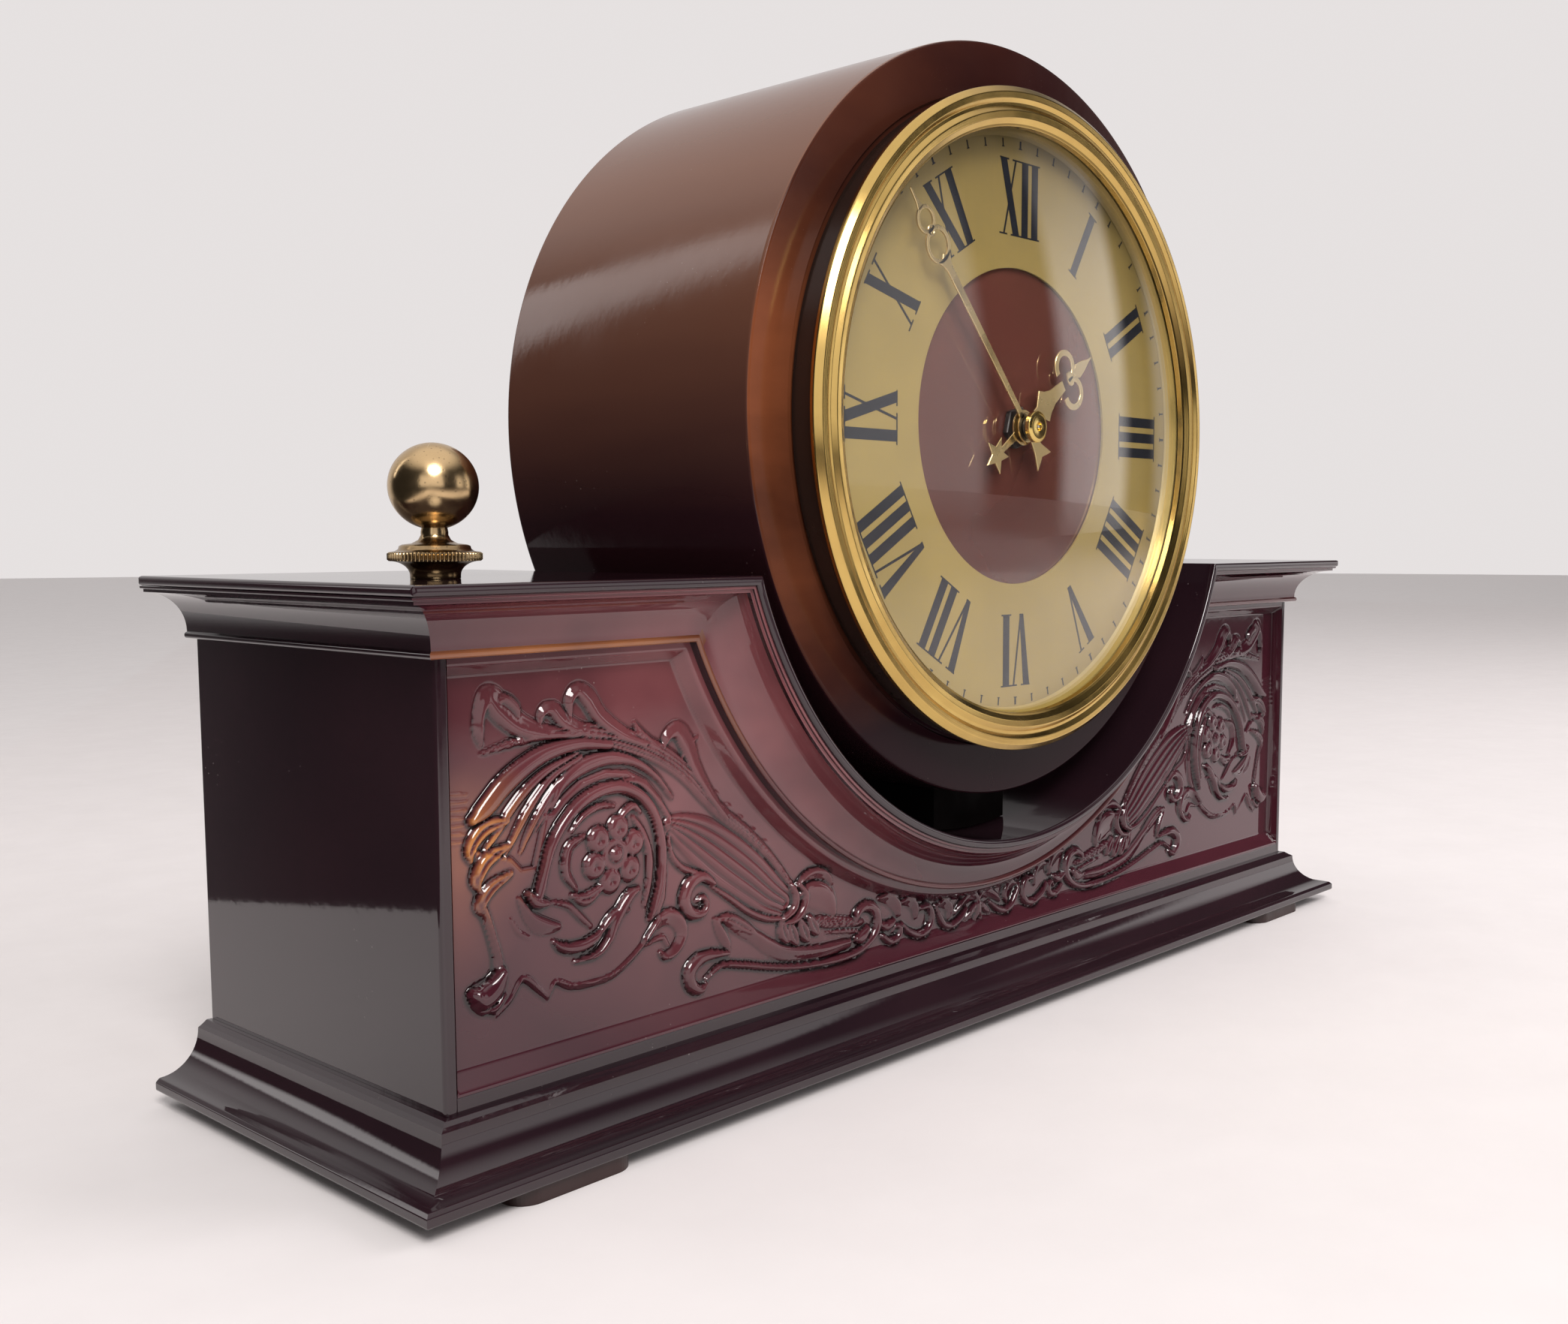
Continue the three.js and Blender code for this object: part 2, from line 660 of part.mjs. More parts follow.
const CANNON_PHASE = 0;
const MINUTE_WHEEL_PHASE = meshPhase(MINUTE_WHEEL_DIR, CANNON_TEETH, CANNON_PHASE, MINUTE_WHEEL_TEETH);
const MINUTE_PINION_PHASE = 0;
const HOUR_PHASE = meshPhase(MINUTE_WHEEL_DIR + Math.PI, MINUTE_PINION_TEETH, MINUTE_PINION_PHASE, HOUR_TEETH);
const SETTING_PHASE = meshPhase(SETTING_DIR, MINUTE_WHEEL_TEETH, MINUTE_WHEEL_PHASE, CANNON_TEETH);
const THIRD_PINION_PHASE = meshPhase(THIRD_DIR, CENTRE_TEETH, 0, THIRD_PINION_TEETH);
const SECOND_PINION_PHASE = meshPhase(SECOND_DIR, THIRD_TEETH, 0, SECOND_PINION_TEETH);

const COVER_BACK_Y = CASE_FRONT_Y + CASE_WALL;
const REAR_INNER_Y = CASE_REAR_Y - CASE_WALL;

// An arbor of radius r with a pivot at each end, running in the front plate and the rear wall.
function arbor([x, v], r) {
  const z = AXIS_Z + v;
  const front = COVER_BACK_Y + GAP;
  const rear = REAR_INNER_Y - GAP;
  return join(
    rodY(x, z, r, front, rear, 12),
    rodY(x, z, PIVOT_R, COVER_BACK_Y - 1.1, front + 1, 8),
    rodY(x, z, PIVOT_R, rear - 1, REAR_INNER_Y + 1.1, 8),
  );
}

function centreWheel() {
  const rear = REAR_INNER_Y - GAP;
  return join(
    rodY(0, AXIS_Z, 1, -56.8, rear, 12),
    rodY(0, AXIS_Z, PIVOT_R, rear - 1, REAR_INNER_Y + 1.1, 8),
    wheel(CANNON_TEETH, CANNON_MODULE, CANNON_PHASE, -43.2, -41.6, ...CENTRE),
    wheel(CENTRE_TEETH, CENTRE_MODULE, 0, -41.1, -40.3, ...CENTRE),
    rodY(0, AXIS_Z, 2, -41.7, -41, 12),
  );
}

function hourWheel() {
  const pipe = turnedRing([[1.7, -54.7], [2.6, -54.7], [2.6, -44], [1.7, -44]], 16);
  return join(pipe, wheel(HOUR_TEETH, MOTION_MODULE, HOUR_PHASE, -44.7, -43.8, ...CENTRE, 2.2));
}

function minuteWheel() {
  return join(
    arbor(MINUTE_WHEEL_AT, 0.9),
    wheel(MINUTE_PINION_TEETH, MOTION_MODULE, MINUTE_PINION_PHASE, -44.9, -42.8, ...MINUTE_WHEEL_AT),
    wheel(MINUTE_WHEEL_TEETH, CANNON_MODULE, MINUTE_WHEEL_PHASE, -42.9, -42, ...MINUTE_WHEEL_AT),
  );
}

function thirdWheel() {
  return join(
    arbor(THIRD_AT, 0.8),
    wheel(THIRD_PINION_TEETH, CENTRE_MODULE, THIRD_PINION_PHASE, -41.5, -39.3, ...THIRD_AT),
    wheel(THIRD_TEETH, THIRD_MODULE, 0, -39.5, -38.7, ...THIRD_AT),
  );
}

function secondWheel() {
  return join(
    arbor(SECOND_AT, 0.7),
    wheel(SECOND_PINION_TEETH, THIRD_MODULE, SECOND_PINION_PHASE, -39.9, -37.3, ...SECOND_AT),
    wheel(SECOND_TEETH, THIRD_MODULE, 0, -37.5, -36.8, ...SECOND_AT),
  );
}

const KNOB_R = 7.5;
const KNOB_LOBES = 12;

function settingKnob() {
  const [x, v] = SETTING_AT;
  const z = AXIS_Z + v;
  const rim = [];
  for (let k = 0; k < 2 * KNOB_LOBES; k++) {
    const r = k % 2 ? KNOB_R - 0.6 : KNOB_R;
    rim.push([r * Math.cos(k * Math.PI / KNOB_LOBES), r * Math.sin(k * Math.PI / KNOB_LOBES)]);
  }
  const knob = alongY(polygon(rim), CASE_REAR_Y + 0.6, CASE_REAR_Y + 7).translate(x, 0, z);
  const front = COVER_BACK_Y + GAP;
  return join(
    knob,
    rodY(x, z, 1.2, front, CASE_REAR_Y + 1, 12),
    rodY(x, z, PIVOT_R, COVER_BACK_Y - 1.1, front + 1, 8),
    wheel(CANNON_TEETH, CANNON_MODULE, SETTING_PHASE, -43.2, -41.7, x, v),
  );
}

function movementCase() {
  const z = (v) => AXIS_Z + v;
  const outer = box(-CASE_HALF_W, COVER_BACK_Y + GAP, z(CASE_BOTTOM), CASE_HALF_W, CASE_REAR_Y, z(CASE_TOP));
  const inner = CASE_HALF_W - CASE_WALL;
  const train = box(-inner, -50, z(BAY_TOP), inner, REAR_INNER_Y, z(CASE_TOP - CASE_WALL));
  const bay = box(-inner, -50, z(CASE_BOTTOM + CASE_WALL), inner, -20, z(BAY_TOP - CASE_WALL));
  const pivots = PIVOTS.map(([x, v]) => rodY(x, z(v), PIVOT_HOLE_R, -34, -29, 12));
  const [sx, sv] = SETTING_AT;
  return cut(outer, train, bay, ...pivots, rodY(sx, z(sv), 1.35, -34, -29, 16));
}

function movementCover() {
  const z = (v) => AXIS_Z + v;
  const plate = box(-CASE_HALF_W, CASE_FRONT_Y, z(CASE_BOTTOM), CASE_HALF_W, COVER_BACK_Y, z(CASE_TOP));
  const pivots = [...PIVOTS.slice(1), SETTING_AT].map(([x, v]) =>
    rodY(x, z(v), PIVOT_HOLE_R, CASE_FRONT_Y - 1, COVER_BACK_Y + 1, 12));
  return cut(plate, rodY(0, AXIS_Z, BUSHING_R + GAP, -50, -44, 16), ...pivots);
}

function threadedBushing() {
  return turnedRing([[2.8, -53.4], [BUSHING_R, -53.4], [BUSHING_R, -45.7], [6, -45.7], [6, -45], [2.8, -45]], 16);
}

function rubberWasher() {
  return turnedRing([[BUSHING_R + GAP, -48.8], [11, -48.8], [11, -47.8], [BUSHING_R + GAP, -47.8]], 16);
}

function fixingNut() {
  return cut(rodY(0, AXIS_Z, 6.4, -53, DIAL_Y + 1.1 - GAP, 6), rodY(0, AXIS_Z, BUSHING_R + 0.1, -55, -50, 16));
}

const COIL_X = 21;
const COIL_Y = -39;
const COIL_V = [-2, 16];

function coilBobbin() {
  const z0 = AXIS_Z + COIL_V[0];
  const z1 = AXIS_Z + COIL_V[1];
  return turnedUpright([[0, z0], [4.6, z0], [4.6, z0 + 1], [1.8, z0 + 1], [1.8, z1 - 1], [4.6, z1 - 1],
    [4.6, z1], [0, z1]], 12, COIL_X, COIL_Y);
}

function coilWinding() {
  const z0 = AXIS_Z + COIL_V[0] + 1 + GAP;
  const z1 = AXIS_Z + COIL_V[1] - 1 - GAP;
  return turnedUpright([[2.1, z0], [4.1, z0], [4.1, z1], [2.1, z1], [2.1, z0]], 16, COIL_X, COIL_Y);
}

const ROTOR_AT = [14, -14];
const ROTOR_R = 3;

function stator() {
  const z = (v) => AXIS_Z + v;
  const plate = box(9, -37, z(-19), 25.6, -36, z(-2.5));
  const [x, v] = ROTOR_AT;
  return cut(plate, rodY(x, z(v), ROTOR_R + 0.6, -40, -33, 14));
}

function rotor() {
  const [x, v] = ROTOR_AT;
  const z = AXIS_Z + v;
  return join(rodY(x, z, ROTOR_R, -38.4, -35, 12), rodY(x, z, 0.5, -45.6, -33, 8),
    wheel(THIRD_PINION_TEETH, THIRD_MODULE, 0, -43, -38.2, x, v));
}

function circuitBoard() {
  return box(14.5, -34.2, AXIS_Z - 8, 26.1, -33.2, AXIS_Z + 25);
}

function battery() {
  const x1 = BATTERY_X0 + BATTERY_LENGTH;
  const profile = [[0, BATTERY_X0], [BATTERY_R - 0.4, BATTERY_X0], [BATTERY_R, BATTERY_X0 + 0.4],
    [BATTERY_R, x1 - 0.5], [BATTERY_R - 0.5, x1], [2.7, x1], [2.7, x1 + 1.1], [0, x1 + 1.1]];
  const points = profile.map(([r, x]) => new THREE.Vector2(r, x));
  return new THREE.LatheGeometry(points, 20).rotateZ(-Math.PI / 2)
    .translate(0, BATTERY_Y, AXIS_Z + BATTERY_V);
}

// Contact tabs: a flat one for the battery's stud, and one with a coned spring.
function batteryContact(sign) {
  const inner = CASE_HALF_W - CASE_WALL - GAP;
  const z = AXIS_Z + BATTERY_V;
  const x0 = sign > 0 ? inner - 0.4 : -inner;
  const tab = box(x0, BATTERY_Y - 5, z - 5, x0 + 0.4, BATTERY_Y + 5, z + 5);
  if (sign > 0) return tab;
  const height = 1.2;
  const spring = new THREE.CylinderGeometry(2.2, 3.6, height, 16).rotateZ(-Math.PI / 2)
    .translate(x0 + 0.35 + height / 2, BATTERY_Y, z);
  return join(tab, spring);
}

// ---------------------------------------------------------------- finial

const FINIAL_BALL_R = 10.2;
const FINIAL_BALL_Z = 157.6;
const KNURL_R = 10.7;

function finial() {
  const z0 = SLAB_TOP_Z + GAP;
  const ball = [];
  const steps = 7;
  const lowest = -1.29;             // angle at which the ball meets the neck
  for (let i = 0; i < steps; i++) {
    const t = lowest + (Math.PI / 2 - lowest) * i / steps;
    ball.push([FINIAL_BALL_R * Math.cos(t), FINIAL_BALL_Z + FINIAL_BALL_R * 0.97 * Math.sin(t)]);
  }
  ball.push([0, FINIAL_BALL_Z + FINIAL_BALL_R * 0.97]);
  const waist = quarter(5.6, z0 + 0.6, KNURL_R - 0.4, 141.1, 3);
  return turnedUpright([
    [0, 150], [STUD_R + GAP, 150], [STUD_R + GAP, z0], [5.4, z0], ...waist, [KNURL_R, 141.3],
    [KNURL_R, 142.5], [6.9, 144.6], [4.2, 145.6], ...ball,
  ], 24, FINIAL_X, FINIAL_Y);
}

function finialStud() {
  return rodZ(FINIAL_X, FINIAL_Y, STUD_R, 128, 148, 12);
}

function finialNut() {
  return cut(rodZ(FINIAL_X, FINIAL_Y, 4, 130.5, SLAB_UNDER_Z - GAP, 6),
    rodZ(FINIAL_X, FINIAL_Y, STUD_R + 0.1, 129, 135, 12));
}

// ---------------------------------------------------------------- assembly

const clock = new THREE.Group();

function add(name, geometry, look, x = 0) {
  const mesh = new THREE.Mesh(closed(geometry), look);
  mesh.name = name;
  mesh.position.set(x, 0, 0);
  clock.add(mesh);
}

add("top_slab", topSlab(), CASE_PLASTIC);
add("cornice", cornice(), CASE_PLASTIC);
add("base_shell", baseShell(), CASE_PLASTIC);
add("skirt", skirt(), CASE_PLASTIC);
add("bottom_plate", bottomPlate(), HARDBOARD);
add("rear_post_left", rearPost(-1), HARDBOARD);
add("rear_post_right", rearPost(1), HARDBOARD);
add("base_back_panel", basePanel(), HARDBOARD);
PANEL_SCREWS.forEach(([side, z], i) =>
  add(`base_back_screw_${i + 1}`, screw(side * PANEL_SCREW_X, PANEL_BACK_Y, z), STEEL));
for (const [name, side, back] of FEET) add(name, foot(back), DARK_PLASTIC, side * FOOT_X);
add("finial", finial(), FINIAL_BRASS);
add("finial_stud", finialStud(), STEEL);
add("finial_nut", finialNut(), STEEL);
add("saddle_block", saddleBlock(), CASE_PLASTIC);
["front", "rear"].forEach((end, i) => {
  add(`drum_bolt_${end}`, drumBolt(DRUM_BOLT_Y[i]), STEEL);
  add(`drum_nut_${end}`, drumNut(DRUM_BOLT_Y[i]), STEEL);
});
add("drum_shell", drumShell(), DRUM_PLASTIC);
add("drum_rear_cover", rearCover(), DARK_PLASTIC);
BOSS_ANGLES.forEach((angle, i) => {
  const [x, z] = polar(BOSS_CENTRE_R, angle);
  add(`rear_cover_screw_${i + 1}`, screw(x, COVER_Y + COVER_T, z), STEEL);
});
add("bezel_collar", collar(), COLLAR_PLASTIC);
add("bezel", bezel(), BEZEL_BRASS);
add("glass", glass(), GLASS);
add("rehaut", rehaut(), DIAL_METAL);
add("dial_seat", dialSeat(), DARK_PLASTIC);
add("chapter_ring", chapterRing(), DIAL_METAL);
add("dial_centre_disc", centreDisc(), DISC_PLASTIC);
add("hour_hand", hourHand(), HAND_BRASS);
add("minute_hand", minuteHand(), HAND_BRASS);
add("hand_cap", handCap(), HAND_BRASS);
add("fixing_nut", fixingNut(), HAND_BRASS);
add("rubber_washer", rubberWasher(), RUBBER);
add("threaded_bushing", threadedBushing(), HAND_BRASS);
add("movement_cover", movementCover(), DARK_PLASTIC);
add("movement_case", movementCase(), DARK_PLASTIC);
add("centre_wheel", centreWheel(), WHITE_PLASTIC);
add("hour_wheel", hourWheel(), WHITE_PLASTIC);
add("minute_wheel", minuteWheel(), WHITE_PLASTIC);
add("third_wheel", thirdWheel(), WHITE_PLASTIC);
add("second_wheel", secondWheel(), WHITE_PLASTIC);
add("setting_knob", settingKnob(), DARK_PLASTIC);
add("rotor", rotor(), FERRITE);
add("stator", stator(), STEEL);
add("coil_bobbin", coilBobbin(), WHITE_PLASTIC);
add("coil_winding", coilWinding(), COPPER);
add("circuit_board", circuitBoard(), BOARD_GREEN);
add("battery", battery(), BATTERY_LABEL);
add("battery_contact_flat", batteryContact(1), STEEL);
add("battery_contact_spring", batteryContact(-1), STEEL);

export default clock;
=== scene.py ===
# The looks of a mantel clock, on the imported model's frame. Shapes are worked in millimetres here
# and scaled to metres when a piece is made. +Z up, the dial faces -Y.

import math

import bmesh
import bpy
import numpy as np
from mathutils import Matrix, Vector


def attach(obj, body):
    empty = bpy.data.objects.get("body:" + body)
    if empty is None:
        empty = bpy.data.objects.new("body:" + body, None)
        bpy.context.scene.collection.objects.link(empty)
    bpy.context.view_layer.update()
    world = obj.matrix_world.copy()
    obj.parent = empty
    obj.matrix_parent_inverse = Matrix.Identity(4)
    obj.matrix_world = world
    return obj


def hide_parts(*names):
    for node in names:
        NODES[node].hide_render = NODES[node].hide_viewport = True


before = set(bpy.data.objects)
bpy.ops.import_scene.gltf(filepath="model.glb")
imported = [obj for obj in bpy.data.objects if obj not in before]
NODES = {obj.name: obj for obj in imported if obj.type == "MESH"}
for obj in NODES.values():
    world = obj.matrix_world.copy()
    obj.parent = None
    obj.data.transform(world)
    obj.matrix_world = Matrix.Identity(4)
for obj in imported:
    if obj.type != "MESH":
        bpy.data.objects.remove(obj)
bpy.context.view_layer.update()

MM = 0.001
BACK_Y = 65
FOOT_H = 4
BODY_HALF_W = 195.5
BODY_FRONT_Y = -43
WALL = 4
FRONT_DEPTH = 6.8                   # from the front face to the inside of the front wall
RECESS_DEPTH = 4
RECESS_HALF_W = 192.5
RECESS_BOTTOM_Z = 24
LIP_REACH = 15.5
LIP_TOP_Z = 7
SKIRT_TOP_Z = 19.8
SLAB_TOP_Z = 136.5
SLAB_T = 2.5
SLAB_HALF_W = 210
SLAB_FRONT_Y = -58
CORNICE_REACH = 14
CORNICE_FOOT = 2.6
CORNICE_DROP = 14.5
CORNICE_BOTTOM = 16.2
SADDLE_R = 117.5
SADDLE_Z = 173.5
AXIS_Z = 178
DRUM_R = 109
DRUM_WALL = 4
DRUM_FRONT_Y = -50
DRUM_BACK_Y = 48.5
FACE_HOLE_R = 89
DIAL_R = 85.6
CENTRE_DISC_R = 46
DIAL_Y = -52.2
GLASS_APEX_Y = -65
HOUR_HAND_Y = -54.6
MINUTE_HAND_Y = -56
HAND_T = 0.6
MINUTE_TURN = 53 / 60 * 2 * math.pi
HOUR_TURN = (1 + 53 / 60) / 12 * 2 * math.pi
FINIAL_X = -178
FINIAL_Y = -17.8
KNURLS = 72
GAP = 0.3
BACK_INSET = 0.2                    # how far the base's mouldings stop short of the back
COVER_SCREW_R = 97
COVER_SCREWS = [math.radians(a) for a in (90, 210, 330)]

DUST = (0.42, 0.36, 0.34)

# ---------------------------------------------------------------- materials


class Look:
    """A Principled material with procedural nodes; positions are in metres on the object."""

    def __init__(self, name, metallic=0.0, ior=1.5, coat=0.0, coat_roughness=0.03):
        self.mat = bpy.data.materials.new(name)
        self.mat.use_nodes = True
        self.tree = self.mat.node_tree
        self.shader = self.tree.nodes["Principled BSDF"]
        self.shader.inputs["Metallic"].default_value = metallic
        self.shader.inputs["IOR"].default_value = ior
        self.shader.inputs["Coat Weight"].default_value = coat
        self.shader.inputs["Coat Roughness"].default_value = coat_roughness
        coords = self.node("ShaderNodeTexCoord")
        self.where = coords.outputs["Object"]

    def node(self, kind, **settings):
        n = self.tree.nodes.new(kind)
        for key, value in settings.items():
            setattr(n, key, value)
        return n

    def put(self, socket, value):
        if hasattr(value, "is_linked"):
            self.tree.links.new(value, socket)
        else:
            socket.default_value = value

    def stretch(self, scale, shift=(0, 0, 0)):
        n = self.node("ShaderNodeMapping")
        self.put(n.inputs["Vector"], self.where)
        n.inputs["Scale"].default_value = scale
        n.inputs["Location"].default_value = shift
        return n.outputs[0]

    def noise(self, scale, detail=3.0, vector=None, roughness=0.55):
        n = self.node("ShaderNodeTexNoise")
        self.put(n.inputs["Vector"], vector or self.where)
        n.inputs["Scale"].default_value = scale
        n.inputs["Detail"].default_value = detail
        n.inputs["Roughness"].default_value = roughness
        return n.outputs["Fac"]

    def cells(self, scale, vector=None, feature="F1"):
        n = self.node("ShaderNodeTexVoronoi", feature=feature)
        self.put(n.inputs["Vector"], vector or self.where)
        n.inputs["Scale"].default_value = scale
        return n.outputs["Distance"]

    def ramp(self, value, low, high, to_low=0.0, to_high=1.0):
        n = self.node("ShaderNodeMapRange", clamp=True)
        for key, v in (("Value", value), ("From Min", low), ("From Max", high),
                       ("To Min", to_low), ("To Max", to_high)):
            self.put(n.inputs[key], v)
        return n.outputs[0]

    def calc(self, operation, a, b=0.0):
        n = self.node("ShaderNodeMath", operation=operation)
        self.put(n.inputs[0], a)
        self.put(n.inputs[1], b)
        return n.outputs[0]

    def blend(self, share, a, b):
        n = self.node("ShaderNodeMix", data_type="RGBA")
        self.put(n.inputs["Factor"], share)
        for socket, value in (("A", a), ("B", b)):
            target = [i for i in n.inputs if i.name == socket and i.type == "RGBA"][0]
            self.put(target, (*value, 1.0) if isinstance(value, tuple) else value)
        return [o for o in n.outputs if o.type == "RGBA"][0]

    def split(self):
        n = self.node("ShaderNodeSeparateXYZ")
        self.put(n.inputs[0], self.where)
        return n.outputs

    def radius(self):
        """Distance from the dial's axis."""
        flat = self.stretch((1, 0, 1), (0, 0, -AXIS_Z * MM))
        n = self.node("ShaderNodeVectorMath", operation="LENGTH")
        self.put(n.inputs[0], flat)
        return n.outputs["Value"]

    def distance(self, point):
        n = self.node("ShaderNodeVectorMath", operation="DISTANCE")
        self.put(n.inputs[0], self.where)
        n.inputs[1].default_value = [c * MM for c in point]
        return n.outputs["Value"]

    def pointiness(self):
        return self.node("ShaderNodeNewGeometry").outputs["Pointiness"]

    def hollow(self):
        """How far a carved point lies below what surrounds it, 0 on pieces that are not carved; it sets where
        shade is painted into the carving.
        """
        return self.node("ShaderNodeAttribute", attribute_name="hollow").outputs["Fac"]

    def vector(self, x, y, z):
        n = self.node("ShaderNodeCombineXYZ")
        for socket, value in zip(n.inputs, (x, y, z)):
            self.put(socket, value)
        return n.outputs[0]

    def dust(self, cells, sizes, patches, spread):
        """Fine specks, 0 to 1, that lie in patches."""
        specks = self.ramp(self.cells(cells), *sizes)
        return self.calc("MULTIPLY", specks, self.ramp(self.noise(patches, 2), *spread))

    def color(self, value):
        self.put(self.shader.inputs["Base Color"], (*value, 1.0) if isinstance(value, tuple) else value)
        return self

    def rough(self, value):
        self.put(self.shader.inputs["Roughness"], value)
        return self

    def smeared(self, low, high, scale, detail=4, edges=(0.3, 0.7)):
        """Roughness that wanders between two values."""
        return self.rough(self.ramp(self.noise(scale, detail), *edges, low, high))

    def bump(self, *layers):
        """Each layer is (height, depth in mm)."""
        normal = None
        for height, depth in layers:
            n = self.node("ShaderNodeBump")
            n.inputs["Strength"].default_value = 1.0
            n.inputs["Distance"].default_value = depth * MM
            self.put(n.inputs["Height"], height)
            if normal is not None:
                self.put(n.inputs["Normal"], normal)
            normal = n.outputs[0]
        self.put(self.shader.inputs["Normal"], normal)
        return self


def dimmed(tone, share):
    return tuple(share * c for c in tone)


def gloss_plastic(name, dark, light, painted_glow=(), roughness=(0.035, 0.075), dust=0.5, peel=0.012):
    """Polished moulding: clouded colour, dust, faint swirls and orange peel, with painted shade in its
    creases and carved hollows. painted_glow lists patches of painted light, standing for light coming through
    where the moulding is thin: (tone, point, reach, share on crests); when given, the sunk ground under the
    cornice gets painted shade too."""
    m = Look(name, ior=1.56, coat=0.28, coat_roughness=0.02)
    body = m.blend(m.ramp(m.noise(9, 4), 0.3, 0.7), dark, light)
    if painted_glow:
        _, y, z = m.split()
        # painted shade: the sunk ground just under the cornice is darkened
        painted_shade_under_cornice = m.calc("MULTIPLY", m.ramp(y, -0.0450, -0.0435), m.ramp(z, 0.080, 0.102, 0.0, 0.9))
        body = m.blend(painted_shade_under_cornice, body, dark)
    # painted light: warm patches of glow and sheen, stronger on convex crests
    for tone, point, reach, crests in painted_glow:
        near = m.ramp(m.distance(point), reach * MM, 0.15 * reach * MM)
        near = m.calc("MULTIPLY", near, m.ramp(m.noise(24, 3), 0.25, 0.6, 0.35, 1.0))
        crest = m.ramp(m.pointiness(), 0.49, 0.56, 1.0 - crests, 1.0)
        body = m.blend(m.calc("MULTIPLY", near, crest), body, tone)
    # painted shade: concave creases, found by pointiness, are darkened
    body = m.blend(m.ramp(m.pointiness(), 0.40, 0.488, 0.75, 0.0), body, dimmed(dark, 0.15))
    # painted shade: the carving's hollows are darkened by how deep they lie
    body = m.blend(m.ramp(m.hollow(), 0.03, 0.35, 0.0, 0.92), body, dimmed(dark, 0.1))
    speck = m.calc("MULTIPLY", m.dust(420, (0.10, 0.04), 30, (0.60, 0.72)), dust)
    m.color(m.blend(speck, body, DUST))
    smear = m.noise(18, 5, m.stretch((1, 1, 0.35)))
    m.rough(m.calc("ADD", m.ramp(smear, 0.35, 0.75, *roughness), m.calc("MULTIPLY", speck, 0.4)))
    swirls = m.noise(900, 1, m.stretch((1, 1, 0.06)))
    return m.bump((m.noise(260, 2), peel), (swirls, 0.002))


def turned_metal(name, tone, shade, roughness, lines, tarnish=0.35):
    """Metal turned about the dial's axis, with rings, tarnish and fingerprints."""
    m = Look(name, metallic=1.0)
    rings = m.noise(lines, 2, m.vector(m.radius(), 0.0, 0.0))
    stain = m.ramp(m.noise(45, 5), 0.42, 0.72, 0.0, tarnish)
    m.color(m.blend(stain, m.blend(rings, tone, dimmed(tone, 0.86)), shade))
    m.rough(m.calc("ADD", m.ramp(m.noise(60, 4), 0.3, 0.7, roughness * 0.75, roughness * 1.3),
                   m.calc("MULTIPLY", stain, 0.3)))
    return m.bump((rings, 0.012), (m.noise(700, 2), 0.002))


def moulded(name, tone, roughness=0.5, grain=900, depth=0.02, variation=0.75, specular=0.5):
    m = Look(name)
    m.shader.inputs["Specular IOR Level"].default_value = specular
    m.color(m.blend(m.ramp(m.noise(25, 4), 0.3, 0.7), tone, dimmed(tone, variation)))
    m.smeared(roughness * 0.8, min(1.0, roughness * 1.25), 80)
    return m.bump((m.noise(grain, 2), depth), (m.noise(90, 3), 0.03))


def plated(name, tone, roughness=0.35, metallic=1.0):
    m = Look(name, metallic=metallic)
    m.color(m.blend(m.ramp(m.noise(120, 5), 0.45, 0.75), tone, dimmed(tone, 0.6)))
    m.smeared(roughness * 0.8, roughness * 1.3, 300)
    return m.bump((m.noise(1500, 2), 0.004))


CASE = gloss_plastic("case_gloss", (0.013, 0.0060, 0.0090), (0.024, 0.0100, 0.0140))
# Besides its maroon, the front carries painted light: warm painted glow by the left edge and on the left
# leaf's crests, and a pinkish painted reflection of the floor round the saddle.
FRONT = gloss_plastic("case_front_gloss", (0.034, 0.0062, 0.0115), (0.062, 0.0130, 0.0205),
                      [((0.19, 0.055, 0.040), (-193, -40, 70), 26, 0.3),
                       ((0.24, 0.075, 0.080), (-100, -52, 120), 110, 0.1),
                       ((0.46, 0.18, 0.040), (-184, -41, 78), 20, 0.97)])
# The bead's lighter tone and the amber patch on its left are painted glow.
BEAD_PAINTED_GLOW = gloss_plastic("case_bead_painted_glow", (0.055, 0.0120, 0.0140), (0.100, 0.0260, 0.0280),
                     [((0.34, 0.125, 0.040), (-160, -45, 121), 75, 0.0)])
DISC = gloss_plastic("disc_gloss", (0.062, 0.020, 0.015), (0.092, 0.029, 0.020),
                     roughness=(0.02, 0.05), dust=0.04, peel=0.003)


def drum_side():
    """The drum's wall, with painted light: brown towards the top where it is lit, near black below as painted
    shade, and long soft streaks along its axis as painted reflections.
    """
    m = Look("drum_gloss")
    z = m.split()[2]
    streak = m.noise(10, 4, m.stretch((1.4, 0.25, 1.4)))
    # painted light and shade: brown where lit above, near black below, with a streaky edge for the reflected
    # lamp band
    high = m.ramp(m.calc("ADD", z, m.calc("MULTIPLY", streak, 0.07)), 0.185, 0.285)
    tone = m.blend(high, (0.024, 0.0075, 0.0100), (0.170, 0.072, 0.040))
    speck = m.calc("MULTIPLY", m.dust(420, (0.10, 0.04), 30, (0.58, 0.7)), 0.4)
    m.color(m.blend(speck, tone, DUST))
    m.smeared(0.06, 0.16, 18, 5, (0.35, 0.75))
    return m.bump((m.noise(200, 2), 0.02), (m.noise(900, 1, m.stretch((1, 0.08, 1))), 0.003))


DRUM = drum_side()


